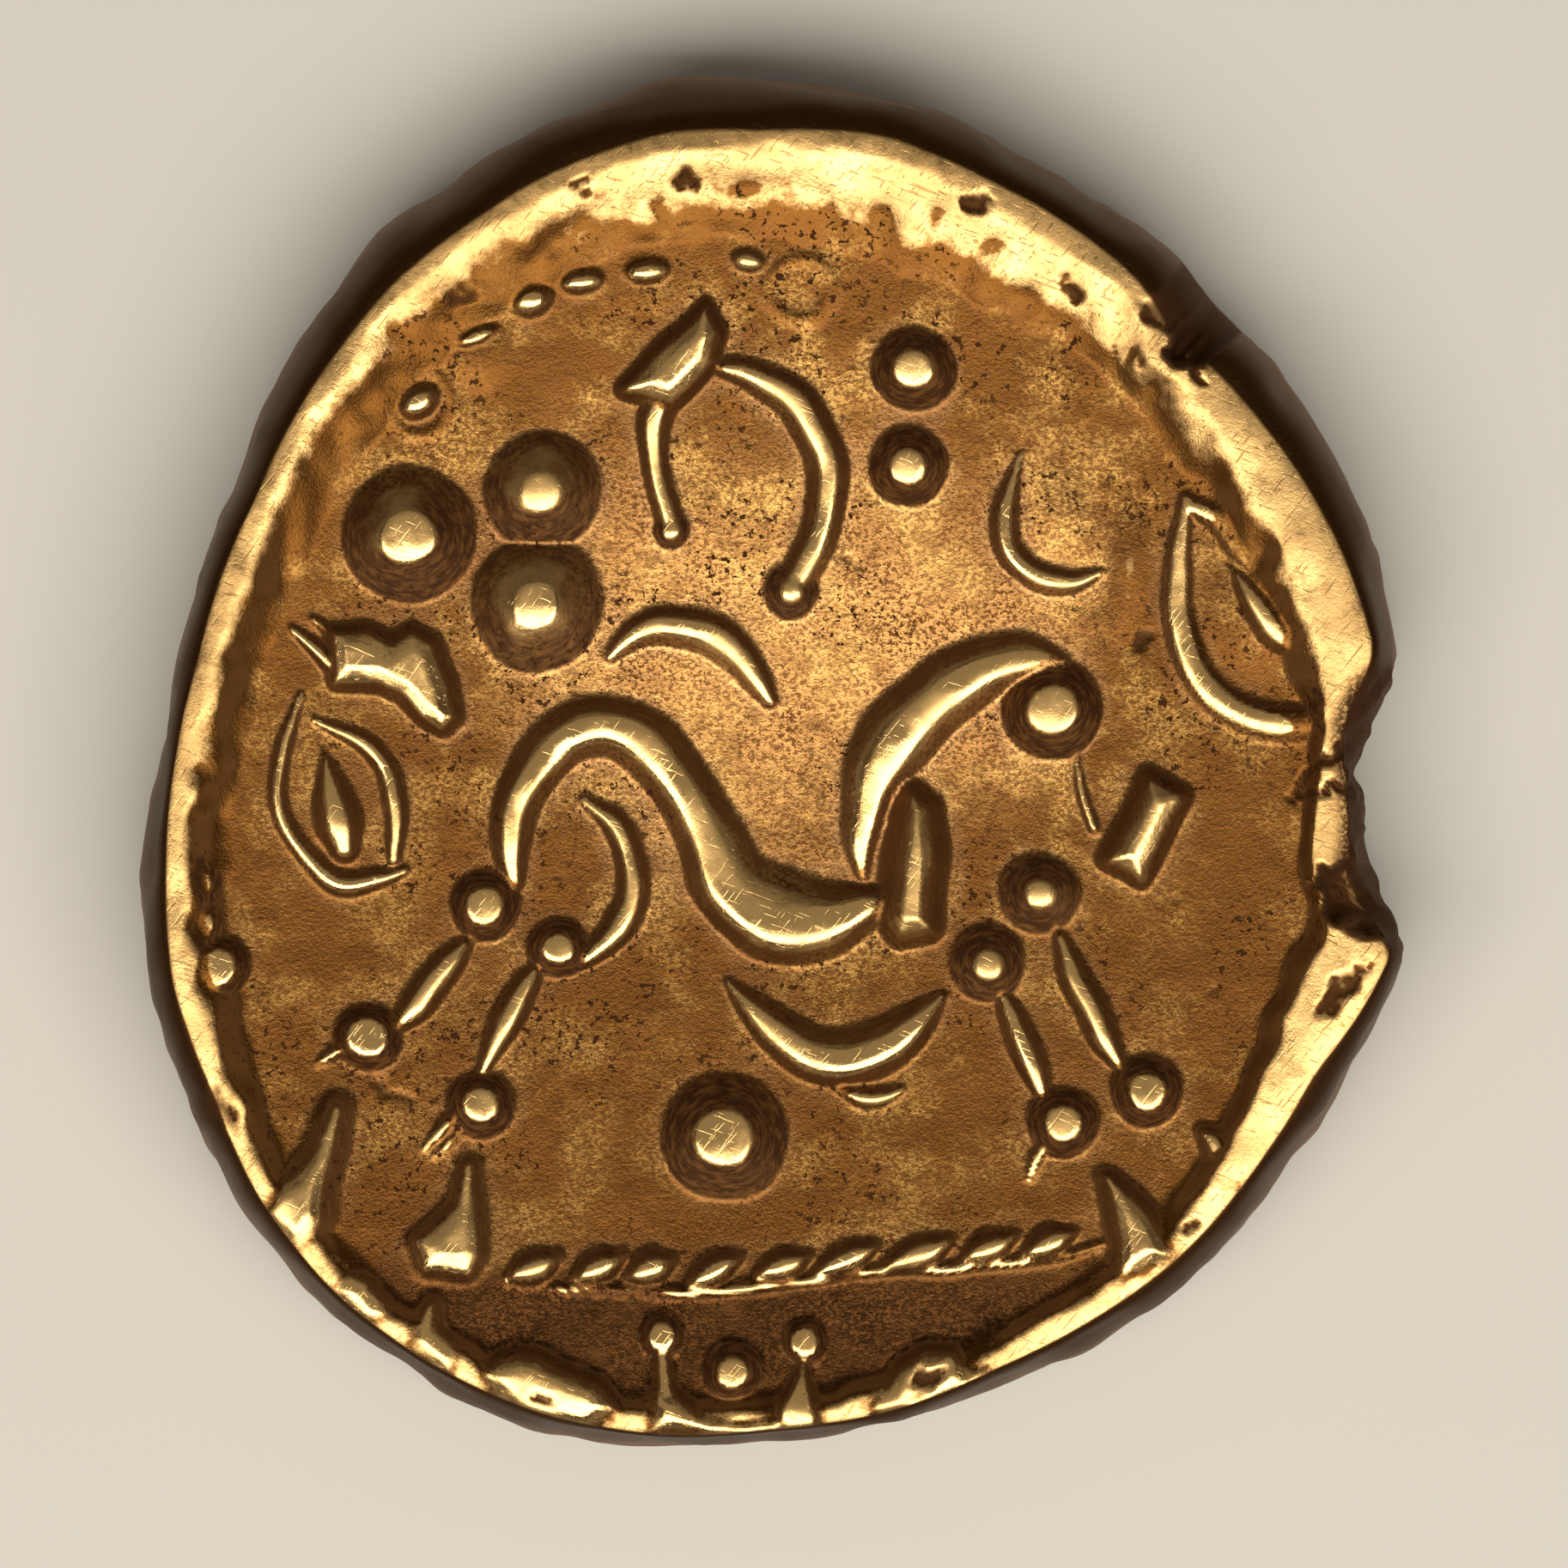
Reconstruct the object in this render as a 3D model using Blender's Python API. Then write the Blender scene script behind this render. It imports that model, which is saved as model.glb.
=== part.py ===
"""Gold coin struck on one side with a disjointed horse, lying with its struck side up.

Metres, +Z up, +Y towards the top of the design. The coin rests on a small flat spot of its bulging back.
The design is drawn on a grid of squares, 160 to the coin's length, counted from the coin's middle, so the
figure keeps its proportions when the coin's length or width changes. Heights are lengths of their own.
"""

import math

import bmesh
import bpy
import numpy as np
from mathutils import Matrix

MM = 0.001

# Overall sizes, in millimetres
COIN_LENGTH = 18.0
COIN_WIDTH = 16.6
COIN_THICKNESS = 2.7
GIRTH_HEIGHT = 1.05
FLAT_SPOT_RADIUS = 2.6

# The struck side, in millimetres
DISH_DEPTH = 0.42
RIM_RISE = 0.34
LAND_FALL = 0.05
TALLEST_PELLET = 0.75
TALLEST_RIDGE = 0.46
TALLEST_SPIKE = 0.34
SWELLING_RISE = 0.09

# The drawing grid, in squares
SQUARES_LONG = 160.0
SQUARES_WIDE = 147.6
GRID_X = COIN_WIDTH / SQUARES_WIDE
GRID_Y = COIN_LENGTH / SQUARES_LONG
GRID = (GRID_X + GRID_Y) / 2

# Shape of a raised mark: how steep it stands for its width, how crowned its top is, how its side curves
PELLET_STEEPNESS = 0.72
RIDGE_STEEPNESS = 1.0
CROWN = 0.1
SIDE_POWER = 1.35
RIDGE_TOP = 0.3
CURVE_STEPS = 8
OUTLINE_BLUR = 2.0

# Shares of the side's rows above the girth, and of the girth's radius at the back's edge
UPPER_SIDE = 0.6
BACK_EDGE = 0.86

# Mesh density
DISC_RINGS = 120
SIDE_RINGS = 16
TRIANGLES = 9700
SMOOTH_ANGLE = 40.0

# Angle in degrees, then the radii in squares of the rim's foot, its crest, its outer shoulder and the girth
RIM = (
    (0, 63.0, 64.2, 65.5, 67.5),
    (6, 63.5, 65.0, 66.8, 72.8),
    (10, 64.5, 68.5, 71.0, 74.1),
    (20, 66.0, 68.5, 70.5, 74.4),
    (30, 63.5, 67.0, 69.0, 74.5),
    (40, 60.0, 66.0, 68.5, 75.2),
    (47, 59.5, 65.5, 67.0, 74.3),
    (52, 60.0, 68.0, 70.0, 76.0),
    (60, 59.0, 68.5, 71.2, 76.1),
    (70, 60.0, 69.0, 72.2, 77.5),
    (80, 62.5, 71.0, 74.0, 79.5),
    (90, 65.0, 71.8, 73.5, 80.3),
    (100, 66.2, 71.5, 74.2, 81.0),
    (110, 66.5, 70.6, 74.2, 80.0),
    (120, 67.2, 69.7, 73.0, 77.2),
    (128, 67.0, 69.3, 72.0, 77.7),
    (135, 66.2, 68.2, 70.5, 75.0),
    (145, 66.0, 67.6, 69.3, 72.8),
    (152, 65.0, 66.6, 68.2, 70.6),
    (160, 65.2, 67.0, 68.4, 71.4),
    (170, 65.2, 67.5, 68.6, 71.2),
    (180, 67.0, 69.0, 70.0, 71.8),
    (190, 69.0, 70.5, 71.5, 75.0),
    (200, 71.0, 72.8, 74.2, 77.8),
    (210, 72.0, 73.8, 75.0, 79.3),
    (220, 74.5, 76.5, 78.2, 81.0),
    (230, 77.0, 78.6, 79.8, 82.3),
    (240, 76.0, 77.9, 80.3, 82.6),
    (250, 74.5, 76.4, 80.2, 82.5),
    (260, 74.8, 76.6, 79.2, 80.8),
    (270, 74.2, 76.0, 77.2, 78.8),
    (280, 72.8, 74.5, 76.3, 78.5),
    (290, 71.2, 72.9, 74.7, 77.2),
    (300, 71.4, 73.0, 74.3, 77.5),
    (310, 70.8, 72.4, 74.1, 77.6),
    (320, 70.3, 71.8, 73.0, 76.3),
    (330, 69.4, 70.9, 72.6, 76.2),
    (338, 70.0, 72.0, 73.8, 77.0),
    (344, 69.0, 72.8, 75.0, 77.3),
    (348, 64.0, 65.5, 66.5, 72.5),
    (354, 64.5, 65.8, 67.0, 69.4),
)

# Name, then the middle x and y, the foot's radius and the top's radius, in squares
PELLETS = {
    "rear upper": (-42.6, 26.7, 8.0, 2.9),
    "rear top": (-27.1, 31.9, 7.2, 2.2),
    "rear lower": (-27.7, 18.5, 8.0, 2.4),
    "front upper": (16.2, 46.2, 5.0, 2.0),
    "front lower": (15.5, 34.7, 4.8, 1.9),
    "head": (32.4, 6.4, 6.0, 2.7),
    "belly": (-5.8, -43.5, 7.6, 3.1),
    "near knee": (24.9, -23.4, 4.6, 1.4),
    "far knee": (30.8, -15.2, 5.0, 1.4),
    "near stifle": (-33.8, -16.4, 4.2, 2.0),
    "far stifle": (-25.4, -21.5, 3.7, 1.7),
    "near hind fetlock": (-47.4, -32.0, 4.0, 2.2),
    "far hind fetlock": (-34.2, -39.7, 4.0, 1.9),
    "near fore fetlock": (33.8, -41.7, 4.2, 1.9),
    "far fore fetlock": (43.4, -38.3, 4.4, 2.1),
    "left hook end": (-12.1, 27.2, 2.2, 0.8),
    "right hook end": (1.8, 20.0, 3.4, 1.0),
    "left post": (-13.3, -66.4, 2.6, 1.6),
    "right post": (3.6, -67.3, 2.6, 1.6),
    "between the posts": (-4.9, -70.7, 3.7, 1.8),
    "right eye's corner": (65.0, 6.2, 3.4, 2.0),
    "left rim upper": (-67.2, -13.6, 2.8, 1.8),
    "left rim middle": (-67.2, -18.2, 2.8, 1.8),
    "left rim lower": (-65.0, -23.6, 3.9, 2.2),
    "border 1": (-49.9, 38.3, 2.2, 0.9),
    "border 2": (-41.5, 42.2, 2.8, 1.0),
    "border 3": (-28.6, 53.9, 2.9, 1.2),
    "border 4": (-22.5, 56.1, 2.2, 1.0),
    "border 5": (-15.0, 57.4, 2.5, 1.1),
    "border 6": (-3.2, 58.6, 1.8, 0.8),
}

# Name, then the middle x and y and the half width and half length of a low swelling, in squares
SWELLINGS = {
    "worn border dome": (-34.6, 47.5, 4.4, 4.2),
    "worn border ring": (3.0, 55.5, 3.8, 3.8),
    "leaf beside the head": (32.8, 28.0, 5.2, 7.6),
    "broad rim's end": (50.6, 34.4, 3.8, 2.6),
    "field by the right eye": (41.0, 22.0, 2.6, 8.0),
    "low left lobe": (-47.4, -61.2, 3.0, 2.6),
    "low right lobe": (26.5, -67.0, 4.0, 2.6),
}

# Name, then along the crest: x, y and the widths of the left and the right side of the way, in squares
RIDGES = {
    "haunch, back and belly": (
        (-30.4, -14.0, 1.2, 1.2),
        (-31.0, -9.5, 2.4, 2.4),
        (-29.4, -3.5, 3.1, 3.1),
        (-26.3, 1.3, 3.6, 3.0),
        (-22.6, 4.2, 3.5, 4.0),
        (-18.8, 4.5, 3.2, 4.2),
        (-15.0, 2.4, 3.7, 4.0),
        (-11.8, -1.4, 4.0, 3.7),
        (-8.8, -7.5, 4.8, 3.4),
        (-6.2, -14.3, 6.6, 3.6),
        (-2.4, -18.2, 7.8, 4.1),
        (2.0, -19.6, 7.6, 4.2),
        (6.6, -18.8, 6.0, 3.8),
        (10.8, -16.5, 2.8, 2.8),
        (13.0, -15.0, 1.0, 1.0),
    ),
    "neck and mane": (
        (10.1, -13.2, 1.0, 0.8),
        (10.6, -8.5, 3.2, 1.7),
        (12.0, -2.5, 4.4, 2.8),
        (14.6, 2.8, 5.2, 4.2),
        (18.3, 6.8, 4.9, 4.1),
        (22.3, 9.5, 4.9, 3.6),
        (26.3, 11.4, 4.2, 3.0),
        (30.3, 12.1, 3.1, 2.0),
        (33.8, 12.0, 1.0, 0.8),
    ),
    "shoulder": (
        (17.6, -2.2, 1.5, 1.5),
        (17.3, -6.0, 3.1, 3.2),
        (15.9, -14.0, 3.7, 3.2),
        (15.0, -18.0, 3.4, 3.0),
        (14.8, -19.4, 2.3, 2.0),
    ),
    "hook's left arm": (
        (-13.0, 44.2, 3.4, 3.4),
        (-14.3, 40.0, 2.9, 2.9),
        (-14.0, 36.0, 2.3, 2.3),
        (-13.4, 32.0, 2.0, 2.0),
        (-12.2, 27.8, 1.7, 1.7),
    ),
    "hook's plate": (
        (-17.4, 43.0, 0.8, 0.8),
        (-14.6, 45.0, 2.6, 2.8),
        (-10.6, 48.4, 2.9, 3.2),
        (-7.8, 51.6, 2.2, 2.4),
        (-6.7, 54.0, 0.9, 0.9),
    ),
    "hook's right arm": (
        (-6.4, 46.2, 1.1, 1.2),
        (-2.2, 45.3, 1.9, 2.3),
        (2.3, 42.7, 2.4, 2.9),
        (5.2, 38.0, 2.5, 2.9),
        (6.2, 33.0, 2.4, 2.8),
        (5.4, 27.5, 2.3, 2.5),
        (3.7, 23.5, 2.3, 2.4),
        (1.8, 20.2, 2.3, 2.3),
    ),
    "crescent above the back": (
        (-19.4, 12.2, 0.7, 0.7),
        (-16.2, 15.2, 1.8, 2.0),
        (-12.7, 16.3, 2.3, 2.6),
        (-8.2, 15.8, 2.3, 2.9),
        (-4.7, 13.3, 2.2, 2.8),
        (-2.2, 10.2, 1.9, 2.2),
        (-0.7, 7.5, 1.1, 1.1),
    ),
    "crescent below the belly": (
        (-5.2, -25.4, 0.6, 0.6),
        (-2.2, -29.0, 2.0, 2.0),
        (1.3, -32.2, 3.2, 2.8),
        (4.8, -34.3, 3.9, 3.0),
        (8.8, -35.0, 4.2, 2.9),
        (12.8, -33.2, 3.6, 3.0),
        (16.3, -30.2, 2.4, 2.5),
        (19.6, -27.0, 0.6, 0.6),
    ),
    "fold under the crescent": (
        (7.3, -37.9, 0.5, 0.5),
        (11.0, -39.2, 1.3, 1.4),
        (14.6, -38.0, 0.5, 0.5),
    ),
    "leaf's thin crescent": (
        (28.6, 36.0, 0.4, 0.4),
        (27.0, 30.0, 1.5, 1.5),
        (27.6, 25.0, 1.8, 1.8),
        (30.6, 22.0, 1.9, 1.7),
        (34.3, 20.9, 1.6, 1.4),
        (37.8, 22.2, 0.5, 0.5),
    ),
    "tail": (
        (-22.2, -4.2, 0.7, 0.7),
        (-18.7, -7.0, 1.8, 1.8),
        (-16.9, -11.5, 2.0, 2.0),
        (-16.9, -16.0, 2.0, 2.0),
        (-18.7, -19.5, 1.9, 1.9),
        (-21.7, -22.2, 1.3, 1.3),
        (-24.0, -23.9, 0.6, 0.6),
    ),
    "bar before the chest": (
        (45.1, -2.4, 2.0, 2.0),
        (44.3, -5.5, 3.2, 3.2),
        (41.8, -10.0, 3.3, 3.2),
        (39.7, -13.2, 2.2, 2.2),
    ),
    "near hind leg": (
        (-35.4, -20.2, 0.7, 0.7),
        (-38.2, -23.5, 2.0, 2.0),
        (-41.5, -27.8, 2.1, 2.1),
        (-43.8, -30.5, 1.2, 1.2),
    ),
    "far hind leg": (
        (-27.4, -22.8, 0.6, 0.6),
        (-29.4, -26.0, 1.8, 1.8),
        (-31.7, -30.5, 2.0, 2.0),
        (-34.2, -35.8, 0.9, 0.9),
    ),
    "near fore leg": (
        (25.8, -25.5, 0.6, 0.6),
        (27.8, -30.0, 1.8, 1.8),
        (30.0, -35.0, 1.9, 1.9),
        (31.8, -39.2, 0.8, 0.8),
    ),
    "far fore leg": (
        (32.8, -19.5, 0.6, 0.6),
        (35.3, -25.0, 2.0, 2.0),
        (38.0, -31.0, 2.2, 2.2),
        (40.6, -35.8, 0.9, 0.9),
    ),
    "near hind toe": ((-48.0, -32.6, 1.5, 1.5), (-50.5, -33.6, 1.1, 1.1), (-53.2, -35.0, 0.4, 0.4)),
    "far hind toe, upper": ((-35.7, -40.0, 1.0, 1.0), (-38.4, -42.2, 0.9, 0.9), (-41.0, -44.8, 0.4, 0.4)),
    "far hind toe, lower": ((-36.2, -42.0, 0.6, 0.6), (-38.0, -44.0, 0.6, 0.6), (-39.8, -45.8, 0.3, 0.3)),
    "near fore toe": ((32.6, -43.0, 0.9, 0.9), (30.6, -45.8, 0.9, 0.9), (29.7, -49.0, 0.3, 0.3)),
    "left eye, outer lid": (
        (-55.4, 7.8, 0.4, 0.4),
        (-57.2, 2.8, 1.1, 1.1),
        (-58.0, -2.5, 1.2, 1.2),
        (-57.0, -7.2, 1.2, 1.2),
        (-54.2, -11.2, 1.2, 1.2),
        (-50.4, -14.0, 1.5, 1.5),
        (-46.2, -13.4, 1.2, 1.2),
        (-43.0, -12.4, 0.6, 0.6),
    ),
    "left eye, inner lid": (
        (-54.0, 5.2, 0.4, 0.4),
        (-48.7, 3.0, 1.2, 1.2),
        (-45.6, -0.5, 1.4, 1.4),
        (-43.9, -5.5, 1.5, 1.5),
        (-44.2, -11.0, 0.9, 0.9),
    ),
    "left eye, pupil": (
        (-52.6, 1.0, 0.5, 0.5),
        (-51.6, -3.5, 2.2, 2.2),
        (-50.7, -7.2, 3.0, 3.0),
        (-50.2, -9.8, 2.0, 2.0),
    ),
    "right eye, outer lid": (
        (48.4, 30.5, 0.8, 0.8),
        (47.5, 24.0, 1.4, 1.4),
        (47.1, 17.5, 1.4, 1.4),
        (49.0, 11.5, 1.4, 1.4),
        (53.0, 7.2, 1.4, 1.4),
        (58.8, 5.2, 1.5, 1.5),
        (64.6, 5.7, 1.6, 1.6),
    ),
    "right eye, brow": (
        (48.4, 30.2, 0.7, 0.7),
        (52.3, 28.2, 1.4, 1.4),
        (54.4, 24.0, 1.3, 1.3),
        (57.8, 21.5, 1.3, 1.3),
        (61.0, 17.5, 1.3, 1.3),
        (62.4, 13.5, 0.8, 0.8),
    ),
    "right eye, pupil": (
        (53.4, 23.0, 0.4, 0.4),
        (55.8, 19.2, 1.6, 1.8),
        (58.6, 15.5, 1.8, 2.4),
        (60.6, 13.0, 1.0, 1.2),
    ),
    "claw, palm": (
        (-49.7, 12.3, 2.2, 2.2),
        (-45.4, 12.0, 3.8, 3.6),
        (-41.9, 9.5, 3.8, 3.2),
        (-39.4, 5.5, 2.4, 2.0),
        (-37.4, 2.8, 0.6, 0.6),
    ),
    "claw, upper prong": ((-54.0, 16.8, 0.4, 0.4), (-51.2, 15.0, 1.0, 1.0), (-48.7, 13.5, 1.8, 1.8)),
    "claw, lower prong": ((-56.4, 15.7, 0.4, 0.4), (-53.4, 13.2, 1.1, 1.1), (-50.2, 10.5, 1.8, 1.8)),
    "rein": ((35.1, 1.8, 0.3, 0.3), (35.8, -3.0, 0.7, 0.7), (37.3, -7.5, 0.7, 0.7)),
    "ground line": (
        (-26.2, -61.2, 0.5, 0.5),
        (-5.2, -61.3, 0.8, 0.8),
        (9.8, -59.4, 0.8, 0.8),
        (29.8, -58.0, 0.8, 0.8),
        (38.6, -56.0, 0.5, 0.5),
    ),
}

# Name, then from the tip to the foot: x, y and the half width, in squares
SPIKES = {
    "left hooked spike": ((-51.3, -41.3, 0.5), (-52.2, -46.0, 1.8), (-54.6, -50.5, 4.0), (-57.0, -53.6, 4.4)),
    "left thin spike": ((-61.4, -41.5, 0.9), (-60.8, -45.0, 1.5), (-59.9, -48.8, 1.8)),
    "left free spike": ((-35.5, -46.8, 0.5), (-36.2, -52.0, 1.9), (-37.3, -56.6, 3.3), (-38.0, -58.6, 2.8)),
    "left low spike": ((-39.6, -62.2, 0.5), (-39.9, -65.4, 2.0), (-41.0, -69.0, 3.6)),
    "bottom lobe": ((-34.4, -71.6, 2.0), (-29.4, -72.2, 3.6), (-23.2, -74.2, 3.8), (-17.8, -76.4, 2.0)),
    "left post's stem": ((-13.2, -68.5, 0.9), (-12.9, -72.0, 1.3), (-12.6, -76.0, 2.2)),
    "right post's stem": ((3.4, -69.5, 0.6), (3.1, -73.0, 1.9), (2.8, -76.0, 3.4)),
    "right lobe": (
        (11.4, -75.6, 1.8),
        (14.8, -72.2, 3.2),
        (19.2, -70.2, 3.2),
        (24.8, -71.8, 2.4),
        (30.0, -70.8, 1.4),
    ),
    "right spike": ((38.4, -47.9, 0.5), (40.8, -53.2, 2.2), (43.2, -58.0, 4.0), (45.0, -60.6, 4.4)),
    "right upper spike": ((49.4, -43.0, 0.6), (52.2, -45.2, 1.9), (55.0, -47.8, 3.4)),
    "upper left lobe": ((-54.6, 34.6, 1.0), (-56.6, 34.0, 2.0)),
}

# The twisted ground line's strands: x and y of the middle and the half length, in squares
STRANDS = (
    (-28.0, -58.9, 3.8),
    (-19.9, -58.8, 4.0),
    (-14.4, -58.9, 3.2),
    (-7.0, -59.1, 4.0),
    (1.0, -58.7, 4.0),
    (8.4, -57.6, 4.5),
    (17.3, -57.2, 5.0),
    (25.3, -56.3, 3.8),
    (32.3, -56.0, 4.0),
)
STRAND_SLANT = 20.0
STRAND_HALF_WIDTH = 1.9
STRAND_RISE = 0.24

# Name, then x, y, radius in squares and depth in millimetres
PITS = {
    "rim pit right of the top": (23.3, 65.0, 1.5, 0.18),
    "rim pit at the top": (-10.5, 68.0, 1.4, 0.1),
    "pit by the right eye": (42.8, 14.2, 1.4, 0.12),
    "hollow in the right lobe, lower": (16.4, -71.8, 1.8, 0.14),
    "hollow in the right lobe, upper": (19.8, -69.8, 1.6, 0.12),
    "pit in the bottom lobe": (-27.8, -73.2, 1.2, 0.1),
    "pit in the right rim": (48.8, -54.2, 1.0, 0.12),
}

# Name, then along the crack: x, y and the half width, in squares, and its depth in millimetres
CRACKS = {
    "wedge through the upper right rim": (
        ((53.6, 54.6, 1.8), (51.2, 50.6, 1.4), (47.8, 47.6, 1.2), (49.6, 43.8, 0.4)),
        0.34,
    ),
    "gap under the broad rim's end": (((66.0, 1.8, 0.9), (63.0, -0.6, 0.7), (60.6, -4.2, 0.3)), 0.2),
    "crack by the near hind hoof": (((-47.2, -35.0, 0.4), (-45.6, -37.8, 0.8), (-41.4, -39.4, 0.3)), 0.07),
    "scrape on the right rim": (((69.4, -22.4, 1.0), (66.0, -26.0, 1.6), (62.6, -30.2, 0.6)), 0.1),
}


def rim_radius(column, angle):
    """One of the rim's radii in squares at angles in radians: the table's corners, slightly rounded."""
    table = np.array(RIM)
    fine = np.arange(0, 360, 0.25)
    blur = np.linspace(-OUTLINE_BLUR, OUTLINE_BLUR, 9)
    around = np.interp(fine[:, None] + blur, table[:, 0], table[:, column], period=360).mean(axis=1)
    return np.interp(np.degrees(angle), fine, around, period=360)


def profile(share, flat):
    """Height share at a share of a mark's half width: a crowned top, then a side that gets steeper."""
    side = np.clip((share - flat) / (1 - flat), 0, 1)
    crown = CROWN * np.minimum(share / flat, 1) ** 2
    return np.where(share < 1, 1 - crown - (1 - CROWN) * side**SIDE_POWER, 0)


def limited(rise, tallest):
    """A rise that grows with its mark's width and levels off at the tallest."""
    return tallest * (1 - np.exp(-rise / tallest))


def pellet(x, y, middle_x, middle_y, foot, top):
    """Height in millimetres of a round pellet with a worn top."""
    share = np.hypot(x - middle_x, y - middle_y) / foot
    return limited(PELLET_STEEPNESS * foot * GRID, TALLEST_PELLET) * profile(share, top / foot)


def swelling(x, y, middle_x, middle_y, half_width, half_length):
    """Height in millimetres of a low soft swelling."""
    share = np.minimum(np.hypot((x - middle_x) / half_width, (y - middle_y) / half_length), 1)
    return SWELLING_RISE * (1 - share**2) ** 2


def curve(points):
    """A Catmull-Rom curve through the points, every column of them, in short steps."""
    points = np.array(points)
    ends = np.vstack([2 * points[0] - points[1], points, 2 * points[-1] - points[-2]])
    steps = np.arange(CURVE_STEPS) / CURVE_STEPS
    pieces = []
    for before, start, end, after in zip(ends, ends[1:], ends[2:], ends[3:]):
        t = steps[:, None]
        bend = (end - before) * t + (2 * before - 5 * start + 4 * end - after) * t**2
        pieces.append(start + 0.5 * (bend + (3 * start - before - 3 * end + after) * t**3))
    return np.vstack([*pieces, points[-1:]])


def ridge(x, y, points, tallest, steepness=RIDGE_STEEPNESS, flat=RIDGE_TOP):
    """Height in millimetres of a ridge along a curve whose points have a left and a right width."""
    line = curve(points)
    height = np.zeros_like(x)
    reach = line[:, 2:].max()
    near = (x > line[:, 0].min() - reach) & (x < line[:, 0].max() + reach)
    near &= (y > line[:, 1].min() - reach) & (y < line[:, 1].max() + reach)
    at = np.stack([x[near], y[near]], axis=1)
    closest = np.full(len(at), np.inf)
    share = np.full(len(at), np.inf)
    rise = np.zeros(len(at))
    for start, end in zip(line, line[1:]):
        way = end[:2] - start[:2]
        length = np.hypot(*way)
        along = np.clip((at - start[:2]) @ way / length**2, 0, 1)
        offset = at - start[:2] - along[:, None] * way
        distance = np.hypot(offset[:, 0], offset[:, 1])
        lean = (way[0] * offset[:, 1] - way[1] * offset[:, 0]) / length / np.maximum(distance, 1e-9)
        left, right = (start[2:] + along[:, None] * (end - start)[2:]).T
        width = np.maximum(right + (left - right) * (lean + 1) / 2, 0.05)
        closer = distance < closest
        closest = np.where(closer, distance, closest)
        share = np.where(closer, distance / width, share)
        rise = np.where(closer, limited(steepness * np.minimum(left, right) * GRID, tallest), rise)
    height[near] = rise * profile(share, flat)
    return height


def spike(x, y, points, flat=0.55):
    """Height in millimetres of a flat-topped spike that widens towards the rim."""
    both_sides = [(*point, point[2]) for point in points]
    return ridge(x, y, both_sides, TALLEST_SPIKE, 2 * RIDGE_STEEPNESS, flat)


def strand(x, y, middle_x, middle_y, half_length):
    """Height in millimetres of one strand of the twisted ground line."""
    way_x = math.cos(math.radians(STRAND_SLANT)) * half_length
    way_y = math.sin(math.radians(STRAND_SLANT)) * half_length
    share_widths = ((-1, 0.25), (-0.4, 0.9), (0.3, 1), (1, 0.35))
    points = [
        (middle_x + share * way_x, middle_y + share * way_y, *(width * STRAND_HALF_WIDTH,) * 2)
        for share, width in share_widths
    ]
    return ridge(x, y, points, STRAND_RISE, 1.6 * RIDGE_STEEPNESS)


def figure_height(x, y):
    """Height in millimetres of the raised design above the field."""
    marks = [pellet(x, y, *sizes) for sizes in PELLETS.values()]
    marks += [swelling(x, y, *sizes) for sizes in SWELLINGS.values()]
    marks += [ridge(x, y, points, TALLEST_RIDGE) for points in RIDGES.values()]
    marks += [spike(x, y, points) for points in SPIKES.values()]
    marks += [strand(x, y, *sizes) for sizes in STRANDS]
    return np.maximum.reduce(marks)


def damage_depth(x, y):
    """Depth in millimetres of the pits and cracks."""
    pits = [
        depth * np.maximum(1 - (np.hypot(x - middle_x, y - middle_y) / radius) ** 2, 0)
        for middle_x, middle_y, radius, depth in PITS.values()
    ]
    cracks = [
        depth * np.minimum(ridge(x, y, [(*p, p[2]) for p in points], 1.0, 9.0, 0.2), 1)
        for points, depth in CRACKS.values()
    ]
    return np.maximum.reduce(pits + cracks)


def field_height(x, y):
    """Height in millimetres of the dished field above the middle of the field."""
    share = np.hypot(2 * x / SQUARES_WIDE, 2 * y / SQUARES_LONG)
    return DISH_DEPTH * share**2


def struck_height(x, y):
    """Height in millimetres of the struck side above the middle of its field, out to the rim's shoulder."""
    angle = np.arctan2(y, x)
    radius = np.hypot(x, y)
    foot, crest, shoulder = (rim_radius(column, angle) for column in (1, 2, 3))
    inner = np.clip((radius - foot) / (crest - foot), 0, 1)
    land = np.clip((radius - crest) / (shoulder - crest), 0, 1)
    rim = RIM_RISE * inner * (2 - inner) - LAND_FALL * land**2
    relief = np.maximum(figure_height(x, y), rim)
    return field_height(x, y) + relief - damage_depth(x, y)


def back_height(radius, girth):
    """Height in millimetres of the bulging back: level inside the flat spot, then curving up to the girth."""
    flat = FLAT_SPOT_RADIUS / GRID
    share = np.clip((radius - flat) / (girth - flat), 0, 1)
    return GIRTH_HEIGHT * (1 - np.sqrt(1 - share**2))


def hexagon_place(x, y):
    """Angle and share of the radius that a point of the flat hexagon gets on a round disc."""
    sector = np.floor(np.degrees(np.arctan2(y, x)) / 60 + 1e-6)
    start, end = np.radians(60 * sector), np.radians(60 * (sector + 1))
    area = np.sin(end - start)
    along_start = (x * np.sin(end) - y * np.cos(end)) / area
    along_end = (y * np.cos(start) - x * np.sin(start)) / area
    share = along_start + along_end
    turned = np.where(share > 0, along_end / np.maximum(share, 1e-9), 0)
    return np.radians(60) * (sector + turned), share


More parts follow.
